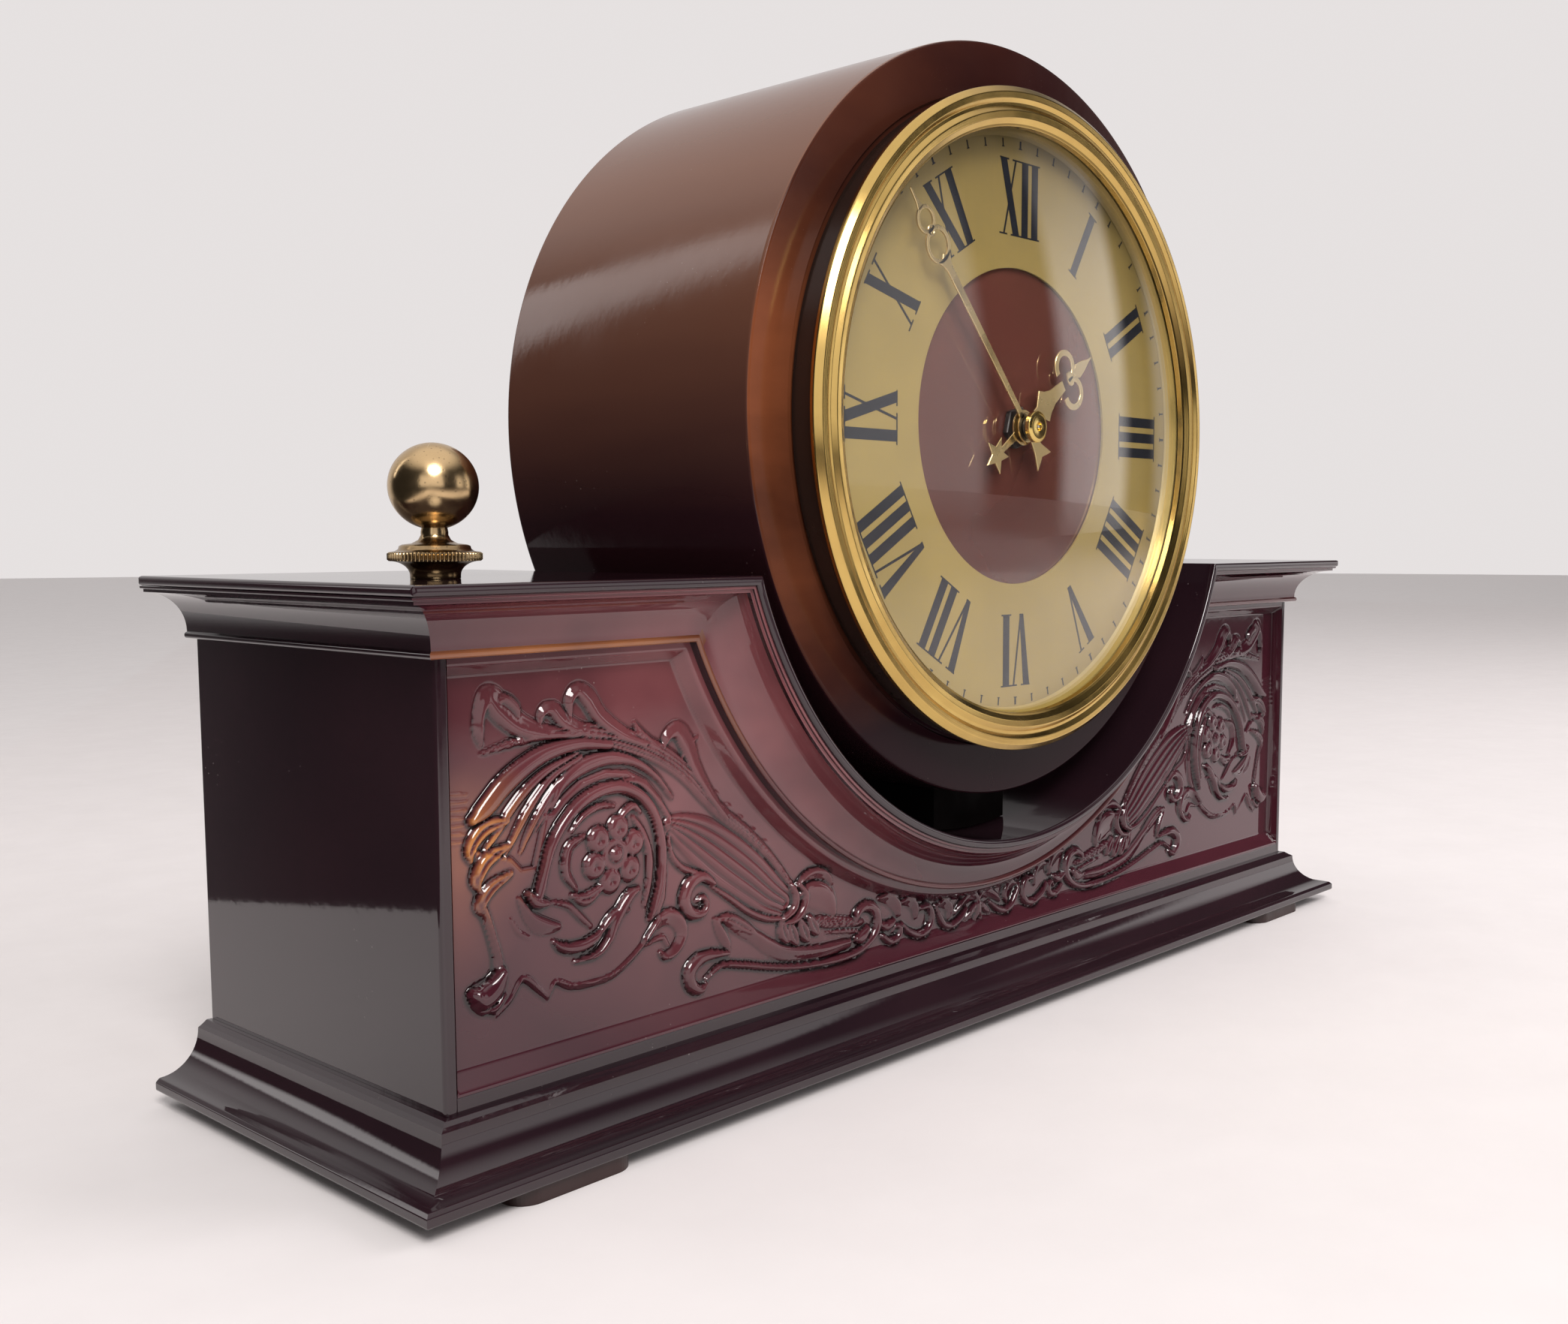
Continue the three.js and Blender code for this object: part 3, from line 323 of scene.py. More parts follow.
def drum_front():
    """The drum's face, with painted light: warm translucent brown on the left as painted glow, and painted
    shade near black towards the bottom, the top and the right.
    """
    m = Look("drum_front_gloss")
    m.shader.inputs["Specular IOR Level"].default_value = 0.10
    x, _, z = m.split()
    streak = m.noise(14, 5, m.stretch((1, 1, 2.2)))
    brown = m.blend(m.ramp(streak, 0.3, 0.72), (0.095, 0.028, 0.011), (0.200, 0.060, 0.024))
    # painted shade: the brown gives way to near black towards the bottom, the top and the right
    low = m.ramp(m.calc("ADD", z, m.calc("MULTIPLY", streak, 0.04)), 0.115, 0.200)
    high = m.ramp(z, 0.195, 0.235, 1.0, 0.28)
    right = m.ramp(x, -0.075, 0.02, 1.0, 0.35)
    share = m.calc("MULTIPLY", m.calc("MULTIPLY", low, high), right)
    tone = m.blend(share, (0.012, 0.0035, 0.0055), brown)
    speck = m.calc("MULTIPLY", m.dust(520, (0.08, 0.03), 40, (0.55, 0.7)), 0.35)
    m.color(m.blend(speck, tone, (0.4, 0.3, 0.25)))
    m.smeared(0.08, 0.18, 30)
    return m.bump((m.noise(300, 2), 0.015), (streak, 0.05))


def dial_metal():
    """Champagne dial: fine straight graining, faint stains, and a painted shadow of the bezel darkening its
    top.
    """
    m = Look("dial_champagne", metallic=0.35)
    grain = m.noise(1400, 3, m.stretch((1, 1, 0.02)))
    stain = m.ramp(m.noise(28, 5), 0.35, 0.75)
    tone = m.blend(stain, (0.285, 0.206, 0.052), (0.215, 0.156, 0.040))
    # painted shadow: the top of the dial, under the bezel's rim, is darkened
    tone = m.blend(m.ramp(m.split()[2], 0.210, 0.258, 0.0, 0.55), tone, (0.105, 0.075, 0.030))
    m.color(m.blend(m.calc("MULTIPLY", grain, 0.3), tone, (0.42, 0.32, 0.11)))
    m.rough(m.ramp(grain, 0.3, 0.7, 0.34, 0.5))
    return m.bump((grain, 0.006))


def finial_metal():
    """Aged brass: golden where rubbed, brown patina low down and in the hollows."""
    m = Look("finial_brass", metallic=1.0)
    z = m.split()[2]
    worn = m.ramp(m.calc("ADD", z, m.calc("MULTIPLY", m.noise(110, 4), 0.008)), 0.142, 0.162)
    patina = m.blend(m.ramp(m.noise(260, 4), 0.35, 0.65), (0.20, 0.135, 0.070), (0.33, 0.225, 0.115))
    tone = m.blend(worn, patina, (0.66, 0.47, 0.25))
    tone = m.blend(m.ramp(m.pointiness(), 0.52, 0.6, 0.0, 0.8), tone, (0.78, 0.60, 0.34))
    pits = m.ramp(m.cells(900), 0.22, 0.08)
    m.color(m.blend(m.calc("MULTIPLY", pits, 0.5), tone, (0.05, 0.03, 0.015)))
    m.smeared(0.13, 0.3, 140)
    return m.bump((m.noise(500, 3), 0.008), (pits, -0.01))


def hardboard():
    m = Look("hardboard_brown")
    fibre = m.noise(500, 5, m.stretch((1, 1, 0.35)))
    m.color(m.blend(m.ramp(fibre, 0.3, 0.7), (0.14, 0.078, 0.040), (0.24, 0.145, 0.080)))
    m.smeared(0.65, 0.9, 40, 3)
    return m.bump((fibre, 0.08), (m.cells(700), 0.05))


def clear_glass():
    m = Look("clear_glass", ior=1.45)
    m.shader.inputs["Transmission Weight"].default_value = 1.0
    dust = m.dust(700, (0.07, 0.02), 25, (0.55, 0.7))
    m.color(m.blend(dust, (1.0, 1.0, 1.0), (0.9, 0.88, 0.85)))
    return m.rough(m.ramp(dust, 0.0, 1.0, 0.0, 0.5))


def winding():
    m = Look("copper_wire", metallic=1.0)
    z = m.split()[2]
    turns = m.calc("SINE", m.calc("MULTIPLY", z, 2 * math.pi / 0.00018))
    m.color(m.blend(m.ramp(turns, -1, 1), (0.35, 0.12, 0.045), (0.62, 0.27, 0.12)))
    m.smeared(0.25, 0.45, 200, 3)
    return m.bump((turns, 0.03))


def battery_sleeve():
    """Printed sleeve: a dark barrel and a plain coppery band at the stud end, with no words."""
    m = Look("battery_sleeve", metallic=0.6)
    x = m.split()[0]
    tone = m.blend(m.ramp(x, 0.0105, 0.0107), (0.018, 0.018, 0.022), (0.42, 0.20, 0.085))
    tone = m.blend(m.ramp(m.noise(90, 4), 0.35, 0.7), tone, m.blend(0.25, tone, (0.3, 0.3, 0.3)))
    tone = m.blend(m.ramp(x, 0.0236, 0.0238), tone, (0.55, 0.55, 0.55))
    m.color(tone)
    m.smeared(0.2, 0.38, 160)
    return m.bump((m.noise(900, 2), 0.004))


DRUM_FRONT = drum_front()
DIAL = dial_metal()
FINIAL = finial_metal()
HARDBOARD = hardboard()
GLASS = clear_glass()
BEZEL = turned_metal("bezel_brass", (0.70, 0.48, 0.155), (0.40, 0.24, 0.07), 0.15, 2600)
GILT = turned_metal("gilt_brass", (0.80, 0.62, 0.30), (0.50, 0.36, 0.16), 0.26, 1800, tarnish=0.2)
CAP = turned_metal("cap_gilt", (0.90, 0.66, 0.22), (0.45, 0.28, 0.08), 0.10, 2600, tarnish=0.15)
COLLAR = gloss_plastic("collar_brown", (0.010, 0.0055, 0.0045), (0.022, 0.012, 0.009), roughness=(0.2, 0.34))
DARK = moulded("dark_moulded", (0.016, 0.011, 0.009), 0.45)
BLOCK = moulded("block_black", (0.0022, 0.0010, 0.0010), 0.8, specular=0.1)
FOOT = moulded("foot_brown", (0.030, 0.012, 0.011), 0.4, 600, 0.03)
WHITE = moulded("white_acetal", (0.72, 0.70, 0.64), 0.42, 700, 0.008, 0.92)
PRINT = moulded("dial_ink", (0.003, 0.004, 0.009), 0.6, 2500, 0.004, specular=0.2)
RUBBER = moulded("washer_rubber", (0.018, 0.018, 0.018), 0.85)
STEEL = plated("zinc_steel", (0.55, 0.55, 0.54))
COPPER = winding()
FERRITE = plated("rotor_ferrite", (0.06, 0.06, 0.065), 0.5, 0.5)
BOARD = moulded("board_green", (0.012, 0.075, 0.028), 0.35, 500, 0.02)
BATTERY = battery_sleeve()

# ---------------------------------------------------------------- mesh helpers


def shape(name, verts, faces, look, slot=None, body="case", replaces=(), crease=32, weld=True):
    mesh = bpy.data.meshes.new(name)
    mesh.from_pydata((np.asarray(verts, float) * MM).tolist(), [], faces)
    if weld:
        bm = bmesh.new()
        bm.from_mesh(mesh)
        bmesh.ops.remove_doubles(bm, verts=bm.verts, dist=2e-6)
        bmesh.ops.recalc_face_normals(bm, faces=bm.faces)
        bm.to_mesh(mesh)
        bm.free()
    mesh.polygons.foreach_set("use_smooth", [True] * len(mesh.polygons))
    mesh.set_sharp_from_angle(angle=math.radians(crease))
    ob = bpy.data.objects.new(name, mesh)
    bpy.context.scene.collection.objects.link(ob)
    for m in look if isinstance(look, list) else [look]:
        mesh.materials.append(m.mat)
    weighted = ob.modifiers.new("normals", "WEIGHTED_NORMAL")
    weighted.keep_sharp = True
    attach(ob, body)
    if replaces:
        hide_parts(*replaces)
    return ob


class Parts:
    """Vertices and faces gathered from several closed forms into one piece."""

    def __init__(self):
        self.verts, self.faces = [], []

    def add(self, verts, faces):
        base = len(self.verts)
        self.verts.extend(verts)
        self.faces.extend([tuple(base + i for i in f) for f in faces])
        return self

    def piece(self, name, look, **more):
        return shape(name, self.verts, self.faces, look, **more)


def rounded(corners, steps=4):
    """A closed outline of (a, b) or (a, b, radius) corners, with those radii rounded."""
    out = []
    n = len(corners)
    for i, (a, b, *r) in enumerate(corners):
        here = Vector((a, b))
        back = Vector(corners[i - 1][:2]) - here
        ahead = Vector(corners[(i + 1) % n][:2]) - here
        if not r:
            out.append((a, b))
            continue
        reach = r[0] / math.tan(back.angle(ahead) / 2)
        reach = min(reach, 0.49 * back.length, 0.49 * ahead.length)
        p0, p1 = here + back.normalized() * reach, here + ahead.normalized() * reach
        for k in range(steps + 1):
            s = k / steps
            out.append(tuple(p0 * (1 - s) ** 2 + here * 2 * s * (1 - s) + p1 * s * s))
    return out


def rings(stations, closed=False):
    """Faces over equal rings of points, with n-gon ends unless the rings close on themselves."""
    count, verts, faces = len(stations[0]), [p for s in stations for p in s], []
    total = len(stations)
    for s in range(total if closed else total - 1):
        a0, b0 = s * count, (s + 1) % total * count
        for i in range(count):
            j = (i + 1) % count
            faces.append((a0 + i, a0 + j, b0 + j, b0 + i))
    if not closed:
        faces.append(tuple(range(count))[::-1])
        faces.append(tuple((total - 1) * count + i for i in range(count)))
    return verts, faces


def turned(profile, segments=256, x=0.0, z=AXIS_Z):
    """A closed outline of (radius, y) points turned about an axis along Y."""
    stations = []
    for k in range(segments):
        t = 2 * math.pi * k / segments
        stations.append([(x + r * math.cos(t), y, z + r * math.sin(t)) for r, y in profile])
    return rings(stations, closed=True)


def lathe(name, profile, segments, look, **more):
    """One piece turned about the dial's axis."""
    return shape(name, *turned(profile, segments), look, **more)


def turned_up(profile, x, y, segments, wave):
    """A closed outline of (radius, z) points turned about an upright axis; wave varies radius."""
    stations = []
    for k in range(segments):
        t = 2 * math.pi * k / segments
        c, s = math.cos(t), math.sin(t)
        stations.append([(x + (r - wave(t, r, z)) * c, y + (r - wave(t, r, z)) * s, z) for r, z in profile])
    return rings(stations, closed=True)


def slab_between(outline, low, high, bevel=0.25):
    """A flat plate of an (x, z) outline, from low to high along Y, with eased edges."""
    full = [Vector(p) for p in outline]
    eased = inset(full, bevel)
    levels = [(eased, low), (full, low + bevel), (full, high - bevel), (eased, high)]
    return rings([[(p.x, y, p.y) for p in points] for points, y in levels])


def inset(points, by):
    """The outline moved inwards by a small amount, corner by corner."""
    n = len(points)
    area = sum(points[i - 1].x * points[i].y - points[i].x * points[i - 1].y for i in range(n))
    side = 1 if area > 0 else -1
    out = []
    for i in range(n):
        a = (points[i] - points[i - 1]).normalized()
        b = (points[(i + 1) % n] - points[i]).normalized()
        na, nb = Vector((-a.y, a.x)) * side, Vector((-b.y, b.x)) * side
        m = na + nb if (na + nb).length > 1e-6 else na
        m.normalize()
        out.append(points[i] + m * (by / max(0.35, m.dot(na))))
    return out


def quarter(x0, y0, x1, y1, steps):
    """Quarter of an ellipse from (x0, y0) to (x1, y1), leaving (x0, y0) along its second axis."""
    out = []
    for i in range(steps + 1):
        t = i / steps * math.pi / 2
        out.append((x0 + (x1 - x0) * (1 - math.cos(t)), y0 + (y1 - y0) * math.sin(t)))
    return out


def dress(look, *names, ease=0.0):
    """CAD nodes that are shown as they are: a material, and a small bevel on their edges."""
    for name in names:
        ob = NODES[name]
        ob.data.materials.clear()
        ob.data.materials.append(look.mat)
        if ease:
            bevel = ob.modifiers.new("ease", "BEVEL")
            bevel.width = ease * MM
            bevel.segments = 2
            bevel.limit_method = "ANGLE"
            bevel.angle_limit = math.radians(40)
            bevel.use_clamp_overlap = True


# ---------------------------------------------------------------- case: slab, cornice, skirt


def saddle_half_angle(d):
    return math.acos((SADDLE_Z - SLAB_TOP_Z + d) / (SADDLE_R + d))


def top_point(share, d):
    """A point of the top's outline round the saddle, d below it, for share from -1 to 1."""
    t = saddle_half_angle(d) * share
    return (SADDLE_R + d) * math.sin(t), SADDLE_Z - (SADDLE_R + d) * math.cos(t)


def front_corner(section, sign, y=None):
    """The place of an (outward, z) section at one of the base's front corners, or straight behind it."""
    return [(sign * (BODY_HALF_W + o), BODY_FRONT_Y - o if y is None else y, z) for o, z in section]


ARC_STEPS = 96
SADDLE_HALF_W = 120


def top_slab():
    """A thin sheet over the whole top, dipping round the saddle, with rounded edges."""
    r = 1.1
    section = rounded([(SLAB_FRONT_Y, 0, r), (BACK_Y, 0, r),
                       (BACK_Y, SLAB_T, r), (SLAB_FRONT_Y, SLAB_T, r)], 5)

    def end(sign, t):
        e = r * (1 - math.sin(t))
        x = sign * (SLAB_HALF_W - r * (1 - math.cos(t)))
        return [(x, min(max(y, SLAB_FRONT_Y + e), BACK_Y - e), SLAB_TOP_Z - min(max(d, e), SLAB_T - e))
                for y, d in section]
    turns = [math.radians(a) for a in (0, 25, 50, 75, 90)]
    stations = [end(-1, t) for t in turns]
    for i in range(ARC_STEPS + 1):
        outline = [(top_point(2 * i / ARC_STEPS - 1, d), y) for y, d in section]
        stations.append([(x, y, z) for (x, z), y in outline])
    stations += [end(1, t) for t in reversed(turns)]
    shape("top_slab_polished", *rings(stations), CASE, slot="case_plastic", replaces=["top_slab"])


def cornice():
    """Cavetto under the slab with a round bead at its foot, round the sides, front and saddle."""
    top = SLAB_T + 0.05
    bead_r = 0.85
    bead_out, bead_down = CORNICE_FOOT - 0.35, CORNICE_BOTTOM - bead_r
    bead = []
    for a in range(90, -71, -16):
        t = math.radians(a)
        bead.append((bead_out + bead_r * math.cos(t), bead_down + bead_r * math.sin(t)))
    hollow = quarter(CORNICE_FOOT - 0.2, CORNICE_DROP - 0.4, CORNICE_REACH - 0.9, top + 1.5, 14)
    section = rounded([
        (-WALL, CORNICE_BOTTOM), (0.3, CORNICE_BOTTOM), *bead,
        (CORNICE_FOOT - 0.25, CORNICE_DROP - 0.1), *hollow, (CORNICE_REACH - 0.9, top + 0.7, 0.2),
        (CORNICE_REACH, top + 0.6, 0.3), (CORNICE_REACH, top), (-WALL, top)])
    level = [(o, SLAB_TOP_Z - d) for o, d in section]
    back = BACK_Y - BACK_INSET
    stations = [front_corner(level, -1, back), front_corner(level, -1)]
    for i in range(ARC_STEPS + 1):
        outline = [(top_point(2 * i / ARC_STEPS - 1, d), BODY_FRONT_Y - o) for o, d in section]
        stations.append([(x, y, z) for (x, z), y in outline])
    stations += [front_corner(level, 1), front_corner(level, 1, back)]
    ob = shape("cornice_polished", *rings(stations), [CASE, FRONT, BEAD_PAINTED_GLOW], slot="case_plastic",
               replaces=["cornice"])
    bead_top = CORNICE_DROP - 0.2
    # faces that look forward take the front material; the bead's faces take the one with painted glow
    for p in ob.data.polygons:
        x, y, z = p.center / MM
        if y > BODY_FRONT_Y - 0.4 or p.normal.y > -0.15:
            continue
        below = SLAB_TOP_Z - z if abs(x) > SADDLE_HALF_W else math.hypot(x, SADDLE_Z - z) - SADDLE_R
        p.material_index = 2 if below > bead_top else 1


def skirt():
    """Moulding round the foot: a small quirk, a hollow, and a rounded lip."""
    shoulder, sole, inner = 3.8, FOOT_H + 0.1, -7.9
    hollow = quarter(shoulder, SKIRT_TOP_Z - 1.6, LIP_REACH - 1.2, LIP_TOP_Z + 0.35, 14)
    section = rounded([
        (0.05, LIP_TOP_Z - 1), (0.05, SKIRT_TOP_Z), (1.4, SKIRT_TOP_Z, 0.5),
        (shoulder - 1.2, SKIRT_TOP_Z - 0.9, 0.5), *hollow,
        (LIP_REACH - 0.9, LIP_TOP_Z + 0.25, 0.3), (LIP_REACH, LIP_TOP_Z - 0.6, 0.7),
        (LIP_REACH, sole, 0.7), (inner, sole), (inner, LIP_TOP_Z - 1)])
    back = BACK_Y - BACK_INSET
    places = [(-1, back), (-1, None), (1, None), (1, back)]
    v, f = rings([front_corner(section, sign, y) for sign, y in places])
    shape("skirt_polished", v, f, CASE, slot="case_plastic", replaces=["skirt"])


def body_walls(parts):
    """Side walls and the front's bottom rail, with eased edges."""
    top = SLAB_TOP_Z - CORNICE_BOTTOM + 0.2
    front, back = BODY_FRONT_Y, BACK_Y - BACK_INSET
    inner = BODY_HALF_W - WALL
    for sign in (-1, 1):
        plan = rounded([
            (sign * BODY_HALF_W, back, 0.6), (sign * BODY_HALF_W, front, 2.4),
            (sign * RECESS_HALF_W, front, 0.5), (sign * RECESS_HALF_W, front + FRONT_DEPTH),
            (sign * inner, front + FRONT_DEPTH), (sign * inner, back, 0.6)], 5)
        parts.add(*rings([[(x, y, z) for x, y in plan] for z in (LIP_TOP_Z, 12, 60, top)]))
    rail = rounded([
        (front, LIP_TOP_Z), (front, RECESS_BOTTOM_Z - 0.2, 1.2),
        (front + RECESS_DEPTH + 0.3, RECESS_BOTTOM_Z + 0.2), (front + FRONT_DEPTH, LIP_TOP_Z)], 6)
    parts.add(*rings([[(x, y, z) for y, z in rail] for x in (-RECESS_HALF_W - 0.1, 0, RECESS_HALF_W + 0.1)]))


# ---------------------------------------------------------------- carved panel

# Generic acanthus scrollwork for the left half; the right half mirrors it. Each stroke is a
# height, a section, and (x, z, half width) stations in the ornament's own millimetres.
TUBE, LEAF, HOLLOW, FLUTED = "tube", "leaf", "hollow", "fluted"

STROKES = [
    # the tube that rings the rosette, and its knob
    (2.1, TUBE, [(-170.5, 63.5, 1.2), (-169.2, 66.5, 1.5), (-167.8, 71, 1.3), (-165.8, 76, 1.5),
        (-162, 81, 1.6), (-157, 84.8, 1.7), (-151, 86.8, 1.7), (-145, 86.8, 1.6), (-139.5, 84.3, 1.5),
        (-135.5, 80, 1.4), (-133.3, 74.5, 1.3), (-132.6, 68.5, 1.3), (-133.3, 62, 1.2), (-135, 57, 1.1),
        (-136.7, 53.3, 0.6)]),
    (2.3, TUBE, [(-172.6, 65.6, 0.8), (-170.6, 63.4, 1.5), (-167.4, 62.6, 0.8)]),
    (1.4, TUBE, [(-141, 78.8, 0.5), (-138.2, 74.5, 0.9), (-136.5, 69, 1), (-136.7, 63, 0.9),
        (-138, 57, 0.5)]),
    # crescents over and under the ring
    (1.5, TUBE, [(-164.8, 84.3, 0.5), (-162.3, 89, 1.5), (-156.5, 92.5, 2), (-148.5, 94, 1.8),
        (-140.5, 92.4, 1.2), (-133.5, 88, 0.8), (-128, 82, 0.5)]),
    (1, TUBE, [(-144, 88.4, 0.4), (-138.5, 86.8, 0.7), (-133.3, 82.2, 0.7), (-129.5, 77.3, 0.9)]),
    (1.8, TUBE, [(-165.6, 53.2, 0.4), (-162.5, 51.2, 1.2), (-158, 50.6, 1.4), (-154, 51.7, 1.2),
        (-151, 53.8, 0.4)]),
    (1.4, HOLLOW, [(-174.8, 64.8, 0.5), (-172, 60, 1.5), (-168.3, 57.2, 2), (-164, 56.3, 0.8)]),
    (0.6, TUBE, [(-177, 60.5, 0.3), (-175, 57.2, 0.5), (-172, 55.2, 0.3)]),
    (1.9, TUBE, [(-159.5, 47.2, 0.4), (-153.5, 47.8, 0.9), (-149.6, 50.7, 1.3), (-147.6, 54.4, 1.6),
        (-145, 58, 1.7), (-142.6, 60.5, 1.4), (-140.2, 61.4, 0.7)]),
    (1.5, TUBE, [(-153, 51.6, 0.5), (-150, 54.8, 1.1), (-146.8, 57, 1), (-143, 56.6, 0.5)]),
    (1.2, TUBE, [(-166, 62.5, 0.4), (-161, 60.8, 0.7), (-157.3, 57.3, 0.8), (-154.6, 54.8, 0.5)]),
    # sheath leaves round the rosette
    (1.6, HOLLOW, [(-158.6, 64.2, 0.6), (-161.5, 68.8, 1.3), (-160.6, 74.3, 1.4), (-156.3, 76.4, 0.7)]),
    (1.5, LEAF, [(-160, 63, 0.5), (-156, 61.6, 1.7), (-151.3, 63.8, 0.8)]),
    (1.4, TUBE, [(-159.8, 78, 0.4), (-156.5, 81.2, 0.8), (-151.5, 83, 0.8), (-147, 82.5, 0.4)]),
    (1.4, TUBE, [(-146, 77.2, 0.4), (-144.8, 80, 0.9), (-141.5, 81.8, 1), (-139, 80, 0.5)]),
    # the leaf's main stem and its curled lobes
    (1.5, FLUTED, [(-85.6, 52.6, 0.9), (-90.5, 58.3, 1.2), (-96, 64, 1.4), (-103, 70, 1.7), (-110, 75, 1.9),
        (-117, 81.2, 2.1), (-124, 88, 2.4), (-132, 93.3, 2.7), (-140, 96.8, 2.9), (-148, 99.2, 2.7),
        (-156, 100.9, 2.2), (-164, 101.5, 1.6), (-172, 100.8, 1.1), (-178, 99.7, 0.7),
        (-183.4, 98.6, 0.3)]),
    (1.8, HOLLOW, [(-158, 101, 1.2), (-166, 101.8, 1.8), (-173, 104, 2.7), (-178, 108, 3.2),
        (-181.3, 111.3, 2.5), (-183.6, 108.5, 1.6), (-184.3, 104, 1.2), (-183.6, 100.6, 0.5)]),
    (1.5, TUBE, [(-173.5, 106, 0.5), (-174.6, 108.4, 1.3), (-177.5, 110.3, 1.2), (-179.5, 109.3, 0.4)]),
    (1.8, HOLLOW, [(-149, 99.8, 1.1), (-155.5, 101.4, 1.7), (-160.5, 103.8, 2), (-164, 107, 1.8),
        (-166.9, 106.6, 1.1), (-167.9, 103.4, 0.4)]),
    (2, HOLLOW, [(-137, 96.6, 1.1), (-144, 99.8, 1.8), (-150, 104, 2.2), (-153.7, 108.8, 2.4),
        (-157, 110.8, 1.7), (-159.5, 108.3, 1.1), (-159, 104.2, 0.4)]),
    (1.9, HOLLOW, [(-110, 75, 1), (-116, 82.4, 1.6), (-120.3, 89, 2.1), (-122.8, 94.8, 2.6),
        (-126, 98.6, 2.2), (-129.4, 97.6, 1.3), (-131, 94.6, 0.5)]),
    (1.1, TUBE, [(-124.6, 91.6, 0.4), (-122.6, 94.8, 0.7), (-119.4, 96, 0.4)]),
    (1.2, LEAF, [(-128, 91, 0.6), (-134, 95.5, 1.3), (-138.2, 99.2, 1), (-139.6, 101.6, 0.4)]),
    # left side: highlighted outer tube, fan of ribs, small lobes, drop and knob
    (2.2, TUBE, [(-148, 97.2, 1.2), (-157, 98.3, 1.7), (-165.5, 97.3, 2.1), (-172, 94.8, 2.4),
        (-178, 91, 2.6), (-183, 86.6, 2.4), (-186.6, 84.2, 1.2)]),
    (1.2, TUBE, [(-157, 96.2, 0.5), (-167, 92.4, 1), (-174.4, 87, 1.2), (-180, 80.6, 1),
        (-183.4, 76.8, 0.4)]),
    (1.2, TUBE, [(-156, 95.2, 0.5), (-165, 91, 0.9), (-171.4, 84.6, 1.1), (-176, 78, 0.8),
        (-178.2, 74.6, 0.3)]),
    (1.1, TUBE, [(-156, 94, 0.5), (-162.6, 90, 0.9), (-168, 84, 1), (-171.8, 78.4, 0.7),
        (-173.6, 74.8, 0.3)]),
    (1, TUBE, [(-157, 92.8, 0.4), (-162, 89, 0.7), (-166, 84.4, 0.8), (-169.2, 79.6, 0.3)]),
    (1.7, LEAF, [(-177.5, 83, 0.9), (-183.6, 81.8, 2), (-187.2, 78, 1.5), (-187, 75, 0.4)]),
    (1.6, LEAF, [(-177.5, 77, 0.8), (-183.2, 75, 1.8), (-186, 71, 1.4), (-185.4, 68.4, 0.4)]),
    (1.5, LEAF, [(-177, 71, 0.7), (-182.4, 68.6, 1.6), (-185.2, 65, 1.3), (-184, 62.4, 0.4)]),
    (1.3, TUBE, [(-184.8, 66, 0.6), (-183.4, 61.6, 0.9), (-182, 57, 0.9), (-180.8, 52.4, 1),
        (-180.6, 49, 1.2)]),
    (2.3, TUBE, [(-180.3, 48.8, 1.6), (-182.2, 45.8, 2.7), (-185.2, 44.2, 2.8), (-187.3, 45.4, 1.6)]),
    (1.2, TUBE, [(-187.6, 42.6, 0.4), (-184.6, 40.9, 0.8), (-181.6, 41.4, 0.8), (-179.2, 43.6, 0.5)]),
    # wavy lower edge and its curl
    (0.9, TUBE, [(-181.2, 39, 0.4), (-177.4, 42, 0.7), (-174, 46, 0.8), (-170.3, 43.2, 0.7),
        (-166.9, 39.9, 0.4)]),
    (0.9, TUBE, [(-166.9, 39.9, 0.4), (-165, 43.4, 0.6), (-160.5, 41.5, 0.8), (-154.5, 40.9, 0.9),
        (-148, 41.4, 0.9), (-142.6, 44, 0.9), (-138, 47.3, 0.9), (-134, 50.8, 0.9)]),
    (1.8, HOLLOW, [(-138, 48, 0.8), (-134, 51.2, 1.6), (-130, 52.4, 2.1), (-126.5, 50.6, 2.1),
        (-125.4, 47, 1.7), (-127.6, 43.8, 1.4), (-130.6, 42.7, 1.1), (-132.4, 44, 0.5)]),
    (0.9, TUBE, [(-137, 46.6, 0.4), (-132, 47.6, 0.7), (-129.8, 45.2, 0.5)]),
    (2, TUBE, [(-114.6, 58.4, 0.8), (-118.6, 60.7, 1.5), (-122.7, 59.4, 1.9), (-124.5, 55.6, 1.9),
        (-122.6, 52.2, 1.7), (-119, 51.3, 1.3), (-117.2, 53.3, 1), (-118.3, 55.4, 0.8),
        (-120.2, 54.8, 0.4)]),
    # horn with long flutes, its rim, and the leafy cup that grows from it
    (1.4, FLUTED, [(-130, 76, 1.6), (-124.5, 73.4, 4.2), (-117.5, 69.2, 6.4), (-109.5, 63.6, 7.4),
        (-101.5, 57.8, 7), (-94.5, 52.4, 5.8), (-89.4, 49.2, 4.4)]),
    (1.4, TUBE, [(-129.6, 72.6, 0.5), (-128.3, 67.6, 0.7), (-125, 64, 0.8), (-120, 61.9, 0.7),
        (-115.6, 60, 0.5)]),
    (1.4, TUBE, [(-115.6, 57.9, 0.5), (-109, 53.6, 0.8), (-102, 48.7, 0.9), (-95.5, 45.7, 0.9),
        (-90, 44.7, 0.9)]),
    (2.3, TUBE, [(-86.4, 53, 0.9), (-84.9, 49.8, 1.4), (-86, 46.6, 1.4), (-89.8, 44.6, 0.9)]),
    (2.1, TUBE, [(-83.6, 53, 0.7), (-81, 50, 1.3), (-81.6, 46.4, 1.4), (-84.6, 43.7, 1.3),
        (-88.6, 43.3, 0.7)]),
    (1.6, LEAF, [(-89.9, 43.4, 1.2), (-89.2, 40.6, 2), (-88, 38.4, 1.2)]),
